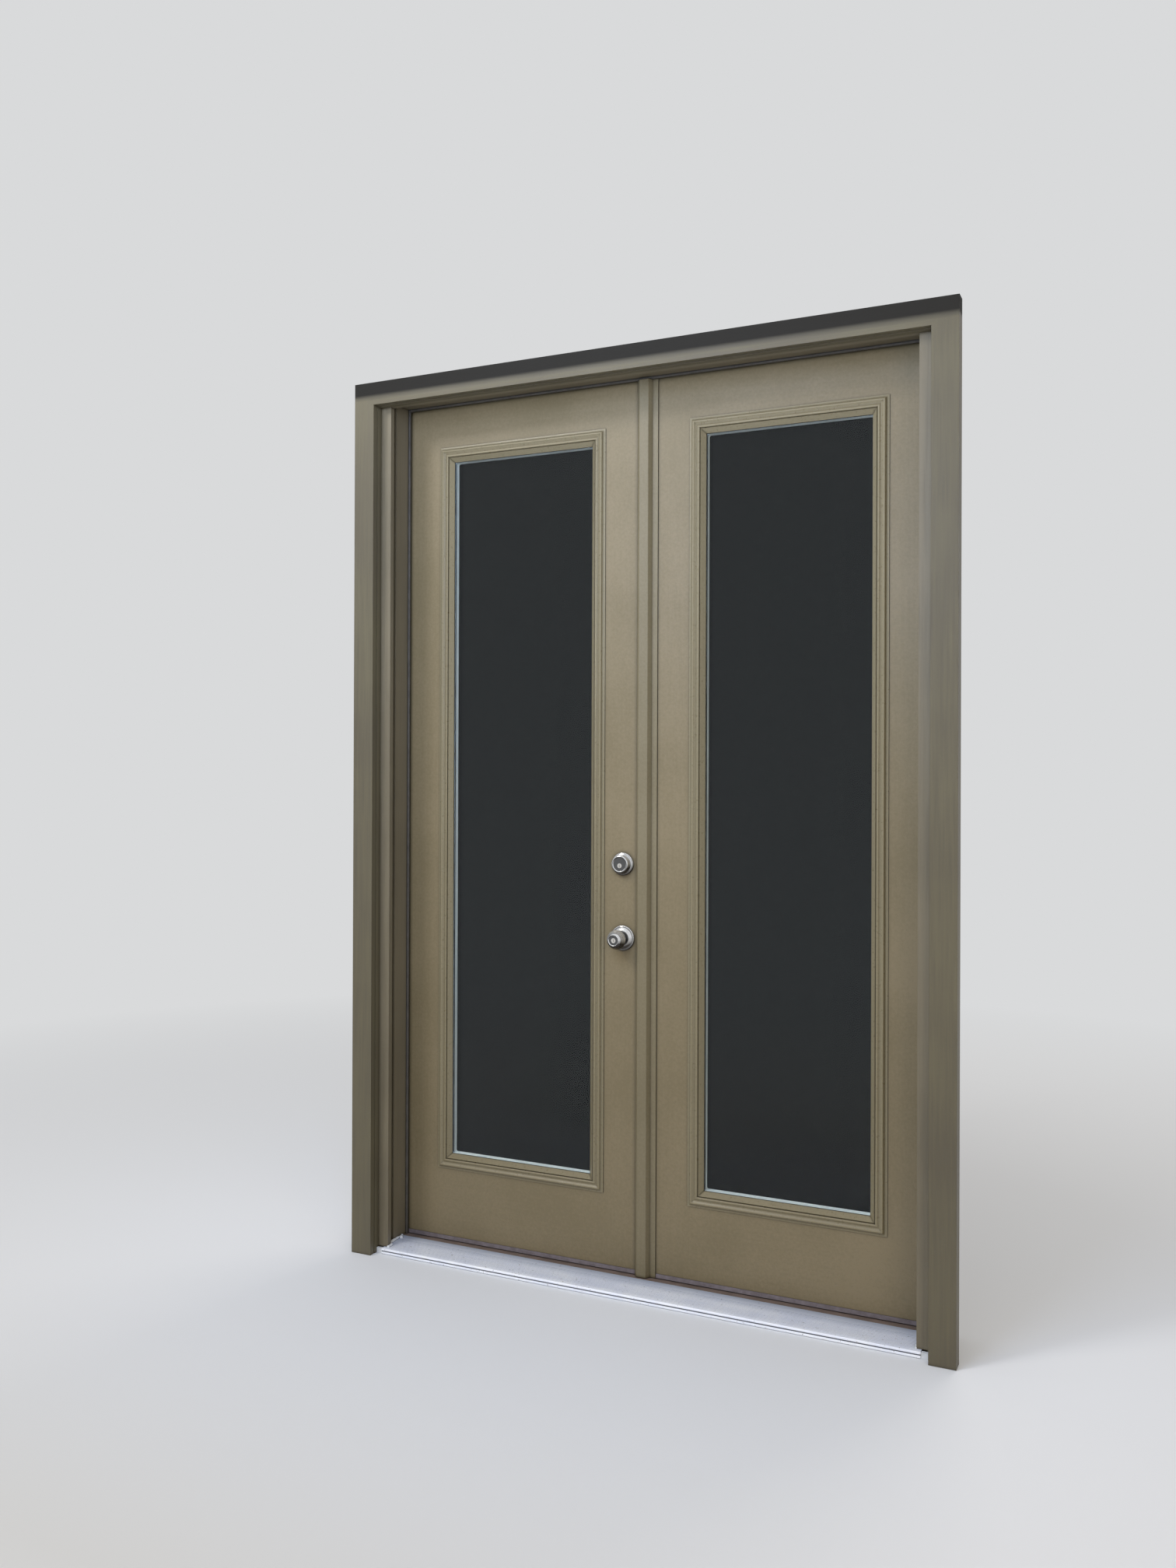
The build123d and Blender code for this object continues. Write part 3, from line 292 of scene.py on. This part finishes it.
# %% [markdown]
# ## Glass unit
# Each leaf holds a sealed unit: two panes with a spacer bar between them. In the photograph the panes are
# dark and the bar shows through the outer pane as a bright thin line on the left and at the foot. So the
# outer pane is clear and the bar is pale aluminium. The inner pane is given a deep neutral tint, a painted
# shade that stands for the dark room behind the glass. Real glass has an index of 1.5, but a plain studio
# is bright all round, so a lower one keeps the panes dark. For rays of light the material is see-through,
# so that lamps reach the bar.

# %% Float glass
outer_low, outer_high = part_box("left_panes")
pane_middle = (outer_low.y + outer_high.y) / 2


def float_glass():
    """Two panes in one node: clear outdoors of the middle, and indoors of it a deep grey that paints in shade."""
    made, tree, shader, place = new_finish("float glass, clear outer pane and grey inner pane", 0.0)
    shader.inputs["Transmission Weight"].default_value = 1.0
    shader.inputs["IOR"].default_value = 1.23
    depth = add(tree, "ShaderNodeSeparateXYZ", {}, {"Vector": place}).outputs["Y"]
    indoors = math_node(tree, "GREATER_THAN", depth, pane_middle)
    # Painted shade: the inner pane's near black tint stands for the dark room behind.
    tint = mix(tree, indoors, "#f6faf8", "#1b1e21")
    tree.links.new(tint, shader.inputs["Base Color"])
    rays = add(tree, "ShaderNodeLightPath").outputs
    passing = add(tree, "ShaderNodeBsdfTransparent", {}, {"Color": tint}).outputs[0]
    lit = {0: rays["Is Shadow Ray"], 1: shader.outputs[0], 2: passing}
    both = add(tree, "ShaderNodeMixShader", {}, lit).outputs[0]
    tree.links.new(both, tree.nodes["Material Output"].inputs["Surface"])
    return made


glass = float_glass()
dress(glass, "left_panes", "right_panes")

# %% Spacer bar and seals


def plain_finish(name, light, dark, size, roughness, metallic=0.0, depth=0.1, edge=0.4, crease_shade=None):
    """A finish with soft patches of two tones and a fine relief, for small parts, and painted shade in its
    creases when a tone is given for it.
    """
    made, tree, shader, place = new_finish(name, roughness, metallic)
    patches = noise(tree, place, 1 / size, 4.0, 0.6)
    colour = mix(tree, ramp(tree, patches, 0.35, 0.65), dark, light)
    # Painted shade in creases, found by ambient occlusion.
    if crease_shade:
        colour = painted_crease_shade(tree, colour, crease_shade, 4 * MM, 0.3, 0.95)
    tree.links.new(colour, shader.inputs["Base Color"])
    shine = ramp(tree, patches, 0.3, 0.7, roughness - 0.06, roughness + 0.08)
    tree.links.new(shine, shader.inputs["Roughness"])
    fine = noise(tree, place, 1 / (size * 0.3), 2.0)
    relief(tree, shader, fine, depth * MM, edge * MM, 0.5)
    return made


def spacer_bar():
    """Pale roll formed aluminium: a fine seam along its middle, and near black along the outdoor edge of its
    upright sides, partly butyl and partly a painted shadow of the frame.
    """
    made = plain_finish("roll formed aluminium spacer, white", "#f4f8fa", "#e9eef1", 0.05, 0.4)
    tree, shader = made.node_tree, made.node_tree.nodes["Principled BSDF"]
    place = add(tree, "ShaderNodeTexCoord").outputs["Object"]
    depth = add(tree, "ShaderNodeSeparateXYZ", {}, {"Vector": place}).outputs["Y"]
    normal = add(tree, "ShaderNodeNewGeometry").outputs["Normal"]
    sideways = add(tree, "ShaderNodeSeparateXYZ", {}, {"Vector": normal}).outputs["X"]
    across = math_node(tree, "ABSOLUTE", sideways)
    upright = math_node(tree, "GREATER_THAN", across, 0.7)
    low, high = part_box("left_spacer")
    edge = math_node(tree, "LESS_THAN", depth, low.y + BUTYL_AND_SHADOW_SHOWS)
    from_seam = math_node(tree, "ABSOLUTE", math_node(tree, "SUBTRACT", depth, (low.y + high.y) / 2))
    seam = math_node(tree, "LESS_THAN", from_seam, SEAM_WIDTH)
    base = shader.inputs["Base Color"].links[0].from_socket
    colour = mix(tree, math_node(tree, "MULTIPLY", seam, 0.5), base, "#8d949c")
    # Partly butyl, partly painted shadow: the upright sides go near black along their outdoor edge.
    colour = mix(tree, math_node(tree, "MULTIPLY", edge, upright), colour, "#15161a")
    tree.links.new(colour, shader.inputs["Base Color"])
    return made


# How far the butyl and the painted shadow reach along the bar's upright sides.
BUTYL_AND_SHADOW_SHOWS = 5 * MM
SEAM_WIDTH = 0.8 * MM
spacer = spacer_bar()
butyl = plain_finish("black butyl glazing seal", "#15161a", "#0e0f12", 0.02, 0.6)
dress(spacer, "left_spacer", "right_spacer")
dress(butyl, "left_glazing_seal", "right_glazing_seal")

# %% [markdown]
# ## Sill
# The sill's deck and its rolled nosing are mill finish aluminium, dulled by weather. Behind the deck lies
# a brown composite cap, and under it a composite base. Sealant closes the nosing's two ends.

# %% Sill finishes
RIB_GRAIN = (0.02, 1.0, 1.0)


def mill_aluminium():
    """Extruded aluminium: patches, streaks and specks of grit, with painted shade at its back, in its groove and
    in its creases.
    """
    made, tree, shader, place = new_finish("mill finish aluminium, weathered", 0.4, 0.1)
    streaks = noise(tree, scaled(tree, place, RIB_GRAIN), 1 / 0.012, 2.0)
    patches = noise(tree, place, 1 / 0.09, 4.0, 0.6)
    grit = noise(tree, place, 1 / 0.007, 2.0, 0.7)
    tone = blend(tree, patches, 0.7, streaks, 0.3)
    colour = mix(tree, ramp(tree, tone, 0.38, 0.62), "#ecf0fb", "#f9fbff")
    colour = mix(tree, ramp(tree, grit, 0.66, 0.72), colour, "#a3a29e")
    spots = add(tree, "ShaderNodeSeparateXYZ", {}, {"Vector": place}).outputs
    # Painted shade: the deck darkens towards its back.
    back = ramp(tree, spots["Y"], DECK_BACK_SHADE_START, DECK_BACK_SHADE_END)
    colour = mix(tree, math_node(tree, "MULTIPLY", back, 0.8), colour, "#8f99ab")
    # Painted shade: a dark line in the nosing's groove.
    in_groove = math_node(tree, "ABSOLUTE", math_node(tree, "SUBTRACT", spots["Z"], NOSE_GROOVE))
    colour = mix(tree, ramp(tree, in_groove, 0.8 * MM, 2.2 * MM), "#454a54", colour)
    # Painted shade: a wide ambient occlusion darkening near the back of the deck.
    deep_shade = painted_crease_shade(tree, colour, "#98a1b4", 30 * MM, 0.3, 0.7)
    behind = ramp(tree, spots["Y"], deck_low.y + 8 * MM, deck_low.y + 20 * MM)
    colour = mix(tree, behind, colour, deep_shade)
    # Painted shade in the sill's creases.
    colour = painted_crease_shade(tree, colour, "#5d626c", 2.5 * MM)
    tree.links.new(colour, shader.inputs["Base Color"])
    tree.links.new(ramp(tree, patches, 0.3, 0.7, 0.38, 0.55), shader.inputs["Roughness"])
    relief(tree, shader, grit, 0.1 * MM, 0.5 * MM, 0.4)
    return made


deck_low, deck_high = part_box("sill_deck")
# Where the painted shade at the deck's back fades in.
DECK_BACK_SHADE_START, DECK_BACK_SHADE_END = deck_high.y - 52 * MM, deck_high.y - 4 * MM
NOSE_GROOVE = 8.6 * MM
deck_metal = mill_aluminium()
# The dark third tone of the cap, the sweep and the foam is their painted crease shade.
cap_brown = plain_finish("brown composite cap", "#7a6a60", "#685a50", 0.03, 0.55, depth=0.2, crease_shade="#2d2723")
base_brown = plain_finish("composite sill base", "#6f665c", "#5f574e", 0.04, 0.7, depth=0.3)
sealant = plain_finish("white silicone sealant", "#eceef0", "#dcdfe2", 0.01, 0.45, depth=0.8)
sweep_vinyl = plain_finish("grey vinyl sweep", "#7c7478", "#686062", 0.02, 0.5, crease_shade="#2d2829")
foam = plain_finish("dark foam weatherstrip in vinyl skin", "#4e4a44", "#403c37", 0.02, 0.55, crease_shade="#0e0d0c")
dress(deck_metal, "sill_deck")
dress(cap_brown, "sill_cap")
dress(base_brown, "sill_base")
dress(sealant, "sill_sealant")
dress(sweep_vinyl, "left_sweep", "right_sweep")
dress(foam, "weatherstrip")

# %% [markdown]
# ## Metal
# The knob set and the deadbolt are polished nickel over brass. Polished metal shows what it faces: sky on
# its upper side, dark ground below and in front. A plain studio has neither, so that reflection is painted
# into the finish: darker where a face looks down or straight to the front, which stays right as the knob
# turns. Its hollows get painted shade too.
# Bolts, cases and strikes are zinc plated steel, which is cooler and a little cloudy.

# %% Nickel and steel


def plated_metal(name, light, dark, roughness, size, painted_dark_tone=None, painted_face_tone=None, metallic=1.0):
    """A plated metal with cloudy wear, and a painted reflection: darker where it looks down or lies flat to the
    front, with painted shade in its hollows.
    """
    made, tree, shader, place = new_finish(name, roughness, metallic)
    clouds = noise(tree, place, 1 / size, 3.0, 0.6)
    marks = noise(tree, place, 1 / (size * 0.08), 2.0)
    colour = mix(tree, ramp(tree, clouds, 0.35, 0.7), dark, light)
    normal = add(tree, "ShaderNodeNewGeometry").outputs["Normal"]
    ways = add(tree, "ShaderNodeSeparateXYZ", {}, {"Vector": normal}).outputs
    # Painted reflection of dark ground: faces that look down go towards the dark tone.
    if painted_dark_tone:
        colour = mix(tree, ramp(tree, ways["Z"], -0.35, 0.1), painted_dark_tone, colour)
    # Painted reflection on flat faces to the front, and painted shade in the hollows round them.
    if painted_face_tone:
        colour = mix(tree, ramp(tree, ways["Y"], -0.985, -0.95), painted_face_tone, colour)
        colour = painted_crease_shade(tree, colour, painted_dark_tone, 3 * MM)
    tree.links.new(colour, shader.inputs["Base Color"])
    shine = ramp(tree, clouds, 0.3, 0.7, roughness - 0.05, roughness + 0.08)
    tree.links.new(shine, shader.inputs["Roughness"])
    relief(tree, shader, marks, 0.01 * MM, 0.35 * MM, 0.5)
    return made


# The two dark tones are painted: the reflection of the ground below and of the space in front.
nickel = plated_metal("polished nickel plated brass", "#f0f0ee", "#e0dfdc", 0.12, 0.02, "#4a4540", "#5f5f5e", 0.8)
plug_metal = plated_metal("nickel plated key plug", "#eceae6", "#dcd9d4", 0.14, 0.01)
zinc = plated_metal("zinc plated steel", "#b9bcc0", "#a3a6ab", 0.32, 0.015)
hinge_metal = plated_metal("satin chrome plated steel hinge", "#bdb8b0", "#a9a49c", 0.3, 0.02)
dress(nickel, "deadbolt_rose", "deadbolt_inner_plate", "thumbturn")
dress(nickel, "knob_roses", "knob_outer", "knob_inner")
dress(plug_metal, "deadbolt_plug", "knob_plug")
dress(zinc, "latch_bolt", "latch_case", "deadbolt", "deadbolt_case")
dress(zinc, "strikes", "slide_bolt_top", "slide_bolt_foot")
dress(hinge_metal, "hinge_jamb_plates", "hinge_pins", "left_hinge_leaf_plates", "right_hinge_leaf_plates")

# %% [markdown]
# ## Screws
# Every hinge plate, faceplate and strike is held by countersunk screws with a cross recess. They are all
# alike, so a Geometry Nodes tree makes one head, cuts its cross and sets a copy at each point, turned to
# face the way that the point says. A seeded random turn leaves the crosses at different angles, as a
# screwdriver does.

# %% The screw tree


def tree_input(tree, name, kind, value=None):
    """A named input on a Geometry Nodes tree."""
    made = tree.interface.new_socket(name=name, in_out="INPUT", socket_type=kind)
    if value is not None:
        made.default_value = value
    return made


def screw_tree():
    """Points in, screw heads out, each facing along its point's own direction."""
    tree = bpy.data.node_groups.new("countersunk screws", "GeometryNodeTree")
    tree_input(tree, "Points", "NodeSocketGeometry")
    tree_input(tree, "Head Radius", "NodeSocketFloat", 4.4 * MM)
    tree_input(tree, "Head Rise", "NodeSocketFloat", 0.5 * MM)
    tree_input(tree, "Recess Width", "NodeSocketFloat", 1.1 * MM)
    tree_input(tree, "Seed", "NodeSocketInt", 7)
    tree_input(tree, "Finish", "NodeSocketMaterial")
    tree.interface.new_socket(name="Screws", in_out="OUTPUT", socket_type="NodeSocketGeometry")
    source = add(tree, "NodeGroupInput").outputs
    sizes = {"Vertices": 28, "Radius Bottom": source["Head Radius"], "Depth": source["Head Rise"]}
    top = add(tree, "ShaderNodeMath", {"operation": "MULTIPLY"}, {0: source["Head Radius"], 1: 0.86})
    sizes["Radius Top"] = top.outputs[0]
    head = add(tree, "GeometryNodeMeshCone", {}, sizes).outputs["Mesh"]
    length = add(tree, "ShaderNodeMath", {"operation": "MULTIPLY"}, {0: source["Head Radius"], 1: 1.15})
    for across in (0, 1):
        size = [length.outputs[0], source["Recess Width"]]
        size = size if across == 0 else size[::-1]
        whole = add(tree, "ShaderNodeCombineXYZ", {}, {"X": size[0], "Y": size[1], "Z": source["Head Rise"]})
        bar = add(tree, "GeometryNodeMeshCube", {}, {"Size": whole.outputs[0]}).outputs["Mesh"]
        lift = add(tree, "ShaderNodeCombineXYZ", {}, {"Z": source["Head Rise"]})
        lifted = add(tree, "GeometryNodeTransform", {}, {"Geometry": bar, "Translation": lift.outputs[0]})
        cut = add(tree, "GeometryNodeMeshBoolean", {"operation": "DIFFERENCE"}, {"Mesh 1": head})
        tree.links.new(lifted.outputs["Geometry"], cut.inputs["Mesh 2"])
        head = cut.outputs["Mesh"]
    facing = add(tree, "GeometryNodeInputNamedAttribute", {"data_type": "FLOAT_VECTOR"}, {"Name": "facing"})
    way = {"Vector": facing.outputs["Attribute"]}
    aligned = add(tree, "FunctionNodeAlignRotationToVector", {"axis": "Z"}, way)
    spin = add(tree, "FunctionNodeRandomValue", {"data_type": "FLOAT"}, {"Seed": source["Seed"]})
    spin.inputs[3].default_value = math.pi
    turn = add(tree, "FunctionNodeAxisAngleToRotation", {}, {"Axis": (0, 0, 1), "Angle": spin.outputs[1]})
    local = {"rotation_space": "LOCAL"}
    turns = {"Rotation": aligned.outputs[0], "Rotate By": turn.outputs[0]}
    turned = add(tree, "FunctionNodeRotateRotation", local, turns)
    sockets = {"Points": source["Points"], "Instance": head, "Rotation": turned.outputs[0]}
    placed = add(tree, "GeometryNodeInstanceOnPoints", {}, sockets).outputs["Instances"]
    real = add(tree, "GeometryNodeRealizeInstances", {}, {"Geometry": placed}).outputs["Geometry"]
    finished = add(tree, "GeometryNodeSetMaterial", {}, {"Geometry": real, "Material": source["Finish"]})
    add(tree, "NodeGroupOutput", {}, {0: finished.outputs["Geometry"]})
    return tree


SCREWS = screw_tree()


def set_input(modifier, name, value):
    """A modifier's input, found by its name and set by its identifier."""
    for item in modifier.node_group.interface.items_tree:
        if item.item_type == "SOCKET" and item.in_out == "INPUT" and item.name == name:
            modifier[item.identifier] = value


def screws(name, places, body, finish, radius=4.4 * MM):
    """One mesh of screw heads at places, each a point and the way that it faces."""
    mesh = bpy.data.meshes.new(name)
    mesh.from_pydata([point for point, way in places], [], [])
    facing = mesh.attributes.new("facing", "FLOAT_VECTOR", "POINT")
    facing.data.foreach_set("vector", np.array([way for point, way in places], float).ravel())
    source = bpy.data.objects.new(name + " points", mesh)
    bpy.context.scene.collection.objects.link(source)
    modifier = source.modifiers.new("screws", "NODES")
    modifier.node_group = SCREWS
    for key, value in {"Head Radius": radius, "Recess Width": radius * 0.25, "Finish": finish}.items():
        set_input(modifier, key, value)
    evaluated = source.evaluated_get(bpy.context.evaluated_depsgraph_get())
    made = bpy.data.objects.new(name, bpy.data.meshes.new_from_object(evaluated))
    bpy.context.scene.collection.objects.link(made)
    bpy.data.objects.remove(source)
    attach(made, body)
    print(name, len(places), "screws,", len(made.data.polygons), "faces")
    return made


# %% [markdown]
# The hinges stand at even heights. Each plate has four screws in two staggered rows. Jamb plates face the
# doorway, and leaf plates face the jamb.

# %% Screws on the hinges
HINGE_COUNT = 4
HINGE_HALF = 50.8 * MM
ROWS = ((-38 * MM, 0.0), (-13 * MM, 13 * MM), (13 * MM, 0.0), (38 * MM, 13 * MM))
SCREW_PROUD = 0.1 * MM


def plate_screws(x, toward, low, high):
    """Places of the screws on one column of hinge plates."""
    first, last = low.z + HINGE_HALF, high.z - HINGE_HALF
    places = []
    for number in range(HINGE_COUNT):
        middle = first + (last - first) * number / (HINGE_COUNT - 1)
        for up, back in ROWS:
            point = (x + toward * SCREW_PROUD, low.y + 9 * MM + back, middle + up)
            places.append((point, (toward, 0, 0)))
    return places


LEAF_EDGE = 762.0 * MM
GAP = 3.2 * MM
for side, sign in (("left", -1), ("right", 1)):
    low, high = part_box(f"{side}_hinge_leaf_plates")
    leaf_places = plate_screws(sign * LEAF_EDGE, sign, low, high)
    jamb_places = plate_screws(sign * (LEAF_EDGE + GAP), -sign, low, high)
    screws(f"{side}_leaf_hinge_screws", leaf_places, f"{side}_leaf", hinge_metal)
    screws(f"{side}_jamb_hinge_screws", jamb_places, "frame", hinge_metal)

# %% Screws on the faceplates, the strikes and the thumbturn's plate
case_low, case_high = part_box("latch_case")
bolt_low, bolt_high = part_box("deadbolt_case")
strike_low, strike_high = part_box("strikes")
mid_y = (case_low.y + case_high.y) / 2
edge_places, strike_places = [], []
for low, high in ((case_low, case_high), (bolt_low, bolt_high)):
    middle = (low.z + high.z) / 2
    for up in (-22 * MM, 22 * MM):
        edge_places.append(((high.x + SCREW_PROUD, mid_y, middle + up), (1, 0, 0)))
        strike_places.append(((strike_low.x - SCREW_PROUD, mid_y, middle + up * 1.1), (-1, 0, 0)))
screws("faceplate_screws", edge_places, "left_leaf", zinc, 3.2 * MM)
screws("strike_screws", strike_places, "right_leaf", zinc, 3.2 * MM)

plate_low, plate_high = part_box("deadbolt_inner_plate")
plate_x, plate_z = (plate_low.x + plate_high.x) / 2, (plate_low.z + plate_high.z) / 2
plate_places = [((plate_x + way * 19 * MM, plate_high.y + SCREW_PROUD, plate_z), (0, 1, 0)) for way in (-1, 1)]
screws("inner_plate_screws", plate_places, "left_leaf", nickel, 3.4 * MM)

# %% [markdown]
# ## Sealant beads
# Somebody ran a bead of white silicone along the deck, where it meets the feet of the boards on each side.
# A bead follows a path and is never even, so a Geometry Nodes tree turns a path of points into a curve,
# and sweeps a small round section along it, swelling and thinning it with noise.

# %% The bead tree


def bead_tree():
    """Points joined by edges in, an uneven bead along them out."""
    tree = bpy.data.node_groups.new("sealant bead", "GeometryNodeTree")
    tree_input(tree, "Path", "NodeSocketGeometry")
    tree_input(tree, "Radius", "NodeSocketFloat", 2.4 * MM)
    tree_input(tree, "Step", "NodeSocketFloat", 2.5 * MM)
    tree_input(tree, "Lump Size", "NodeSocketFloat", 14 * MM)
    tree_input(tree, "Finish", "NodeSocketMaterial")
    tree.interface.new_socket(name="Bead", in_out="OUTPUT", socket_type="NodeSocketGeometry")
    source = add(tree, "NodeGroupInput").outputs
    path = add(tree, "GeometryNodeMeshToCurve", {}, {"Mesh": source["Path"]}).outputs["Curve"]
    steps = {"Curve": path, "Length": source["Step"]}
    evened = add(tree, "GeometryNodeResampleCurve", {"mode": "LENGTH"}, steps)
    place = add(tree, "GeometryNodeInputPosition").outputs[0]
    pitch = math_node(tree, "DIVIDE", 1.0, source["Lump Size"])
    lumps = noise(tree, place, pitch, 2.0)
    thickness = ramp(tree, lumps, 0.3, 0.7, 0.55, 1.45)
    ring = {"Resolution": 10, "Radius": source["Radius"]}
    section = add(tree, "GeometryNodeCurvePrimitiveCircle", {}, ring).outputs["Curve"]
    sweep = {"Curve": evened.outputs["Curve"], "Profile Curve": section, "Scale": thickness, "Fill Caps": True}
    skin = add(tree, "GeometryNodeCurveToMesh", {}, sweep).outputs["Mesh"]
    smooth = add(tree, "GeometryNodeSetShadeSmooth", {}, {"Geometry": skin}).outputs[0]
    real = add(tree, "GeometryNodeRealizeInstances", {}, {"Geometry": smooth}).outputs["Geometry"]
    finished = add(tree, "GeometryNodeSetMaterial", {}, {"Geometry": real, "Material": source["Finish"]})
    add(tree, "NodeGroupOutput", {}, {0: finished.outputs["Geometry"]})
    return tree


BEADS = bead_tree()

# %% Beads along the deck's ends and blobs in its back corners
strip_low, strip_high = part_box("strip_left")
deck_rise = strip_low.z - cad_low[2]
strip_x, strip_y = strip_high.x, strip_low.y
jamb_x, mould_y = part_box("jamb_left")[1].x, strip_high.y
deck_y = deck_high.y
DECK_SLOPE = math.tan(math.radians(1.5))


def bead(name, points, radius):
    """One bead of sealant on a path, in its own mesh."""
    mesh = bpy.data.meshes.new(name)
    mesh.from_pydata(points, [(k, k + 1) for k in range(len(points) - 1)], [])
    source = bpy.data.objects.new(name + " path", mesh)
    bpy.context.scene.collection.objects.link(source)
    modifier = source.modifiers.new("bead", "NODES")
    modifier.node_group = BEADS
    for key, value in {"Radius": radius, "Finish": sealant}.items():
        set_input(modifier, key, value)
    evaluated = source.evaluated_get(bpy.context.evaluated_depsgraph_get())
    made = bpy.data.objects.new(name, bpy.data.meshes.new_from_object(evaluated))
    bpy.context.scene.collection.objects.link(made)
    bpy.data.objects.remove(source)
    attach(made, "frame")
    print(name, len(made.data.polygons), "faces")
    return made


def deck_height(y):
    """The height of the deck's top at a place, which rises towards the doors."""
    return deck_rise + (y - strip_y) * DECK_SLOPE


for side, sign in (("left", -1), ("right", 1)):
    near, far = -strip_x - 1.5 * MM, -jamb_x - 1.5 * MM
    walk = [(near, strip_y - 1 * MM), (near, mould_y), (far, mould_y + 2 * MM)]
    walk += [(far, mould_y + 32 * MM), (far, deck_y - 4 * MM)]
    points = [(sign * x, y, deck_height(y) + 0.6 * MM) for x, y in walk]
    bead(f"bead_{side}", points, 3.4 * MM if side == "left" else 2.6 * MM)
    blob_z = deck_height(deck_y) + 0.4 * MM
    corner = [(sign * (far - step * MM), deck_y - (4 + 2 * step) * MM, blob_z) for step in (1, 5, 9)]
    bead(f"blob_{side}", corner, 4.6 * MM if side == "left" else 3 * MM)

# %% [markdown]
# ## Light and floor
# A plain pale floor and a plain pale world stand for an open sky. A large soft key lamp high on the left
# draws the mouldings, and three weaker lamps fill the front, the head and the right. A fifth one lights
# the side that faces the room. Glass and metal mirror the key lamp alone. The others are kept from their
# rays, since four bright squares on one lite would hide it. Rays that reach the camera, or that metal and
# glass send on, see the pale background. The light that falls on the object is kept at a plain level, so
# a colour renders about as it is written.

# %% Floor, world and lamps
PALE = "#d9dadb"
FLOOR_NEAR, FLOOR_FAR = 1.6, 4.8


def seen_ray(tree):
    """1 for rays that the camera sends, or that metal and glass send on, and 0 for rays of light."""
    rays = add(tree, "ShaderNodeLightPath").outputs
    seen = math_node(tree, "MAXIMUM", rays["Is Camera Ray"], rays["Is Glossy Ray"])
    return math_node(tree, "MAXIMUM", seen, rays["Is Transmission Ray"])


def pale_floor():
    """A wide plain floor that takes the object's shadow and fades into the background far off."""
    mesh = bpy.data.meshes.new("floor")
    half = 40.0
    corners = [(-half, -half, 0), (half, -half, 0), (half, half, 0), (-half, half, 0)]
    mesh.from_pydata(corners, [], [(0, 1, 2, 3)])
    made = bpy.data.objects.new("floor", mesh)
    bpy.context.scene.collection.objects.link(made)
    made.location.z = cad_low[2] - 0.5 * MM
    finish, tree, shader, place = new_finish("pale floor", 0.9)
    shader.inputs["Base Color"].default_value = linear("#e8e9ea")
    away = add(tree, "ShaderNodeVectorMath", {"operation": "LENGTH"}, {0: place}).outputs["Value"]
    far = math_node(tree, "MULTIPLY", ramp(tree, away, FLOOR_NEAR, FLOOR_FAR), seen_ray(tree))
    glow = add(tree, "ShaderNodeEmission", {}, {"Color": linear(PALE), "Strength": 1.0}).outputs[0]
    both = add(tree, "ShaderNodeMixShader", {}, {0: far, 1: shader.outputs[0], 2: glow}).outputs[0]
    tree.links.new(both, tree.nodes["Material Output"].inputs["Surface"])
    made.data.materials.append(finish)
    made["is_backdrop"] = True


def pale_world():
    """A world that lights softly and looks pale to the camera, to metal and to glass."""
    world = bpy.data.worlds.new("pale world")
    bpy.context.scene.world = world
    world.use_nodes = True
    tree = world.node_tree
    light = add(tree, "ShaderNodeBackground", {}, {"Color": linear("#f4f6fa"), "Strength": 0.5})
    shown = add(tree, "ShaderNodeBackground", {}, {"Color": linear(PALE), "Strength": 1.0})
    both = add(tree, "ShaderNodeMixShader", {}, {0: seen_ray(tree), 1: light.outputs[0], 2: shown.outputs[0]})
    tree.links.new(both.outputs[0], tree.nodes["World Output"].inputs["Surface"])


def soft_lamp(name, place, aim, size, watts, colour, mirrored=True):
    """A square area lamp that points at a place, and that glass and metal can mirror or not."""
    data = bpy.data.lights.new(name, "AREA")
    data.shape = "SQUARE"
    data.size = size
    data.energy = watts
    data.color = linear(colour)[:3]
    made = bpy.data.objects.new(name, data)
    bpy.context.scene.collection.objects.link(made)
    made.visible_glossy = mirrored
    made.visible_transmission = mirrored
    made.location = place
    made.rotation_euler = (Vector(aim) - Vector(place)).to_track_quat("-Z", "Y").to_euler()
    return made


pale_floor()
pale_world()
soft_lamp("key lamp", (-2.3, -3.4, 4.4), (0, 0, 1.4), 1.2, 78, "#fffaf2")
soft_lamp("front lamp", (0, -4.4, 2.8), (0, 0, 1.5), 2.4, 20, "#fdf9f2", False)
soft_lamp("top lamp", (-0.05, -1.6, 2.3), (0, 0, 2.35), 1.1, 35, "#c6daff", False)
soft_lamp("right lamp", (2.6, -3.0, 1.8), (-0.7, 0, 1.2), 1.6, 26, "#fff0dc", False)
soft_lamp("room lamp", (1.2, 4.0, 4.2), (0, 0, 1.2), 3.0, 70, "#fff6ea", False)

# %% The visual size, and the end
low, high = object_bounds()
print("visual size", [round(b - a, 4) for a, b in zip(low, high)])
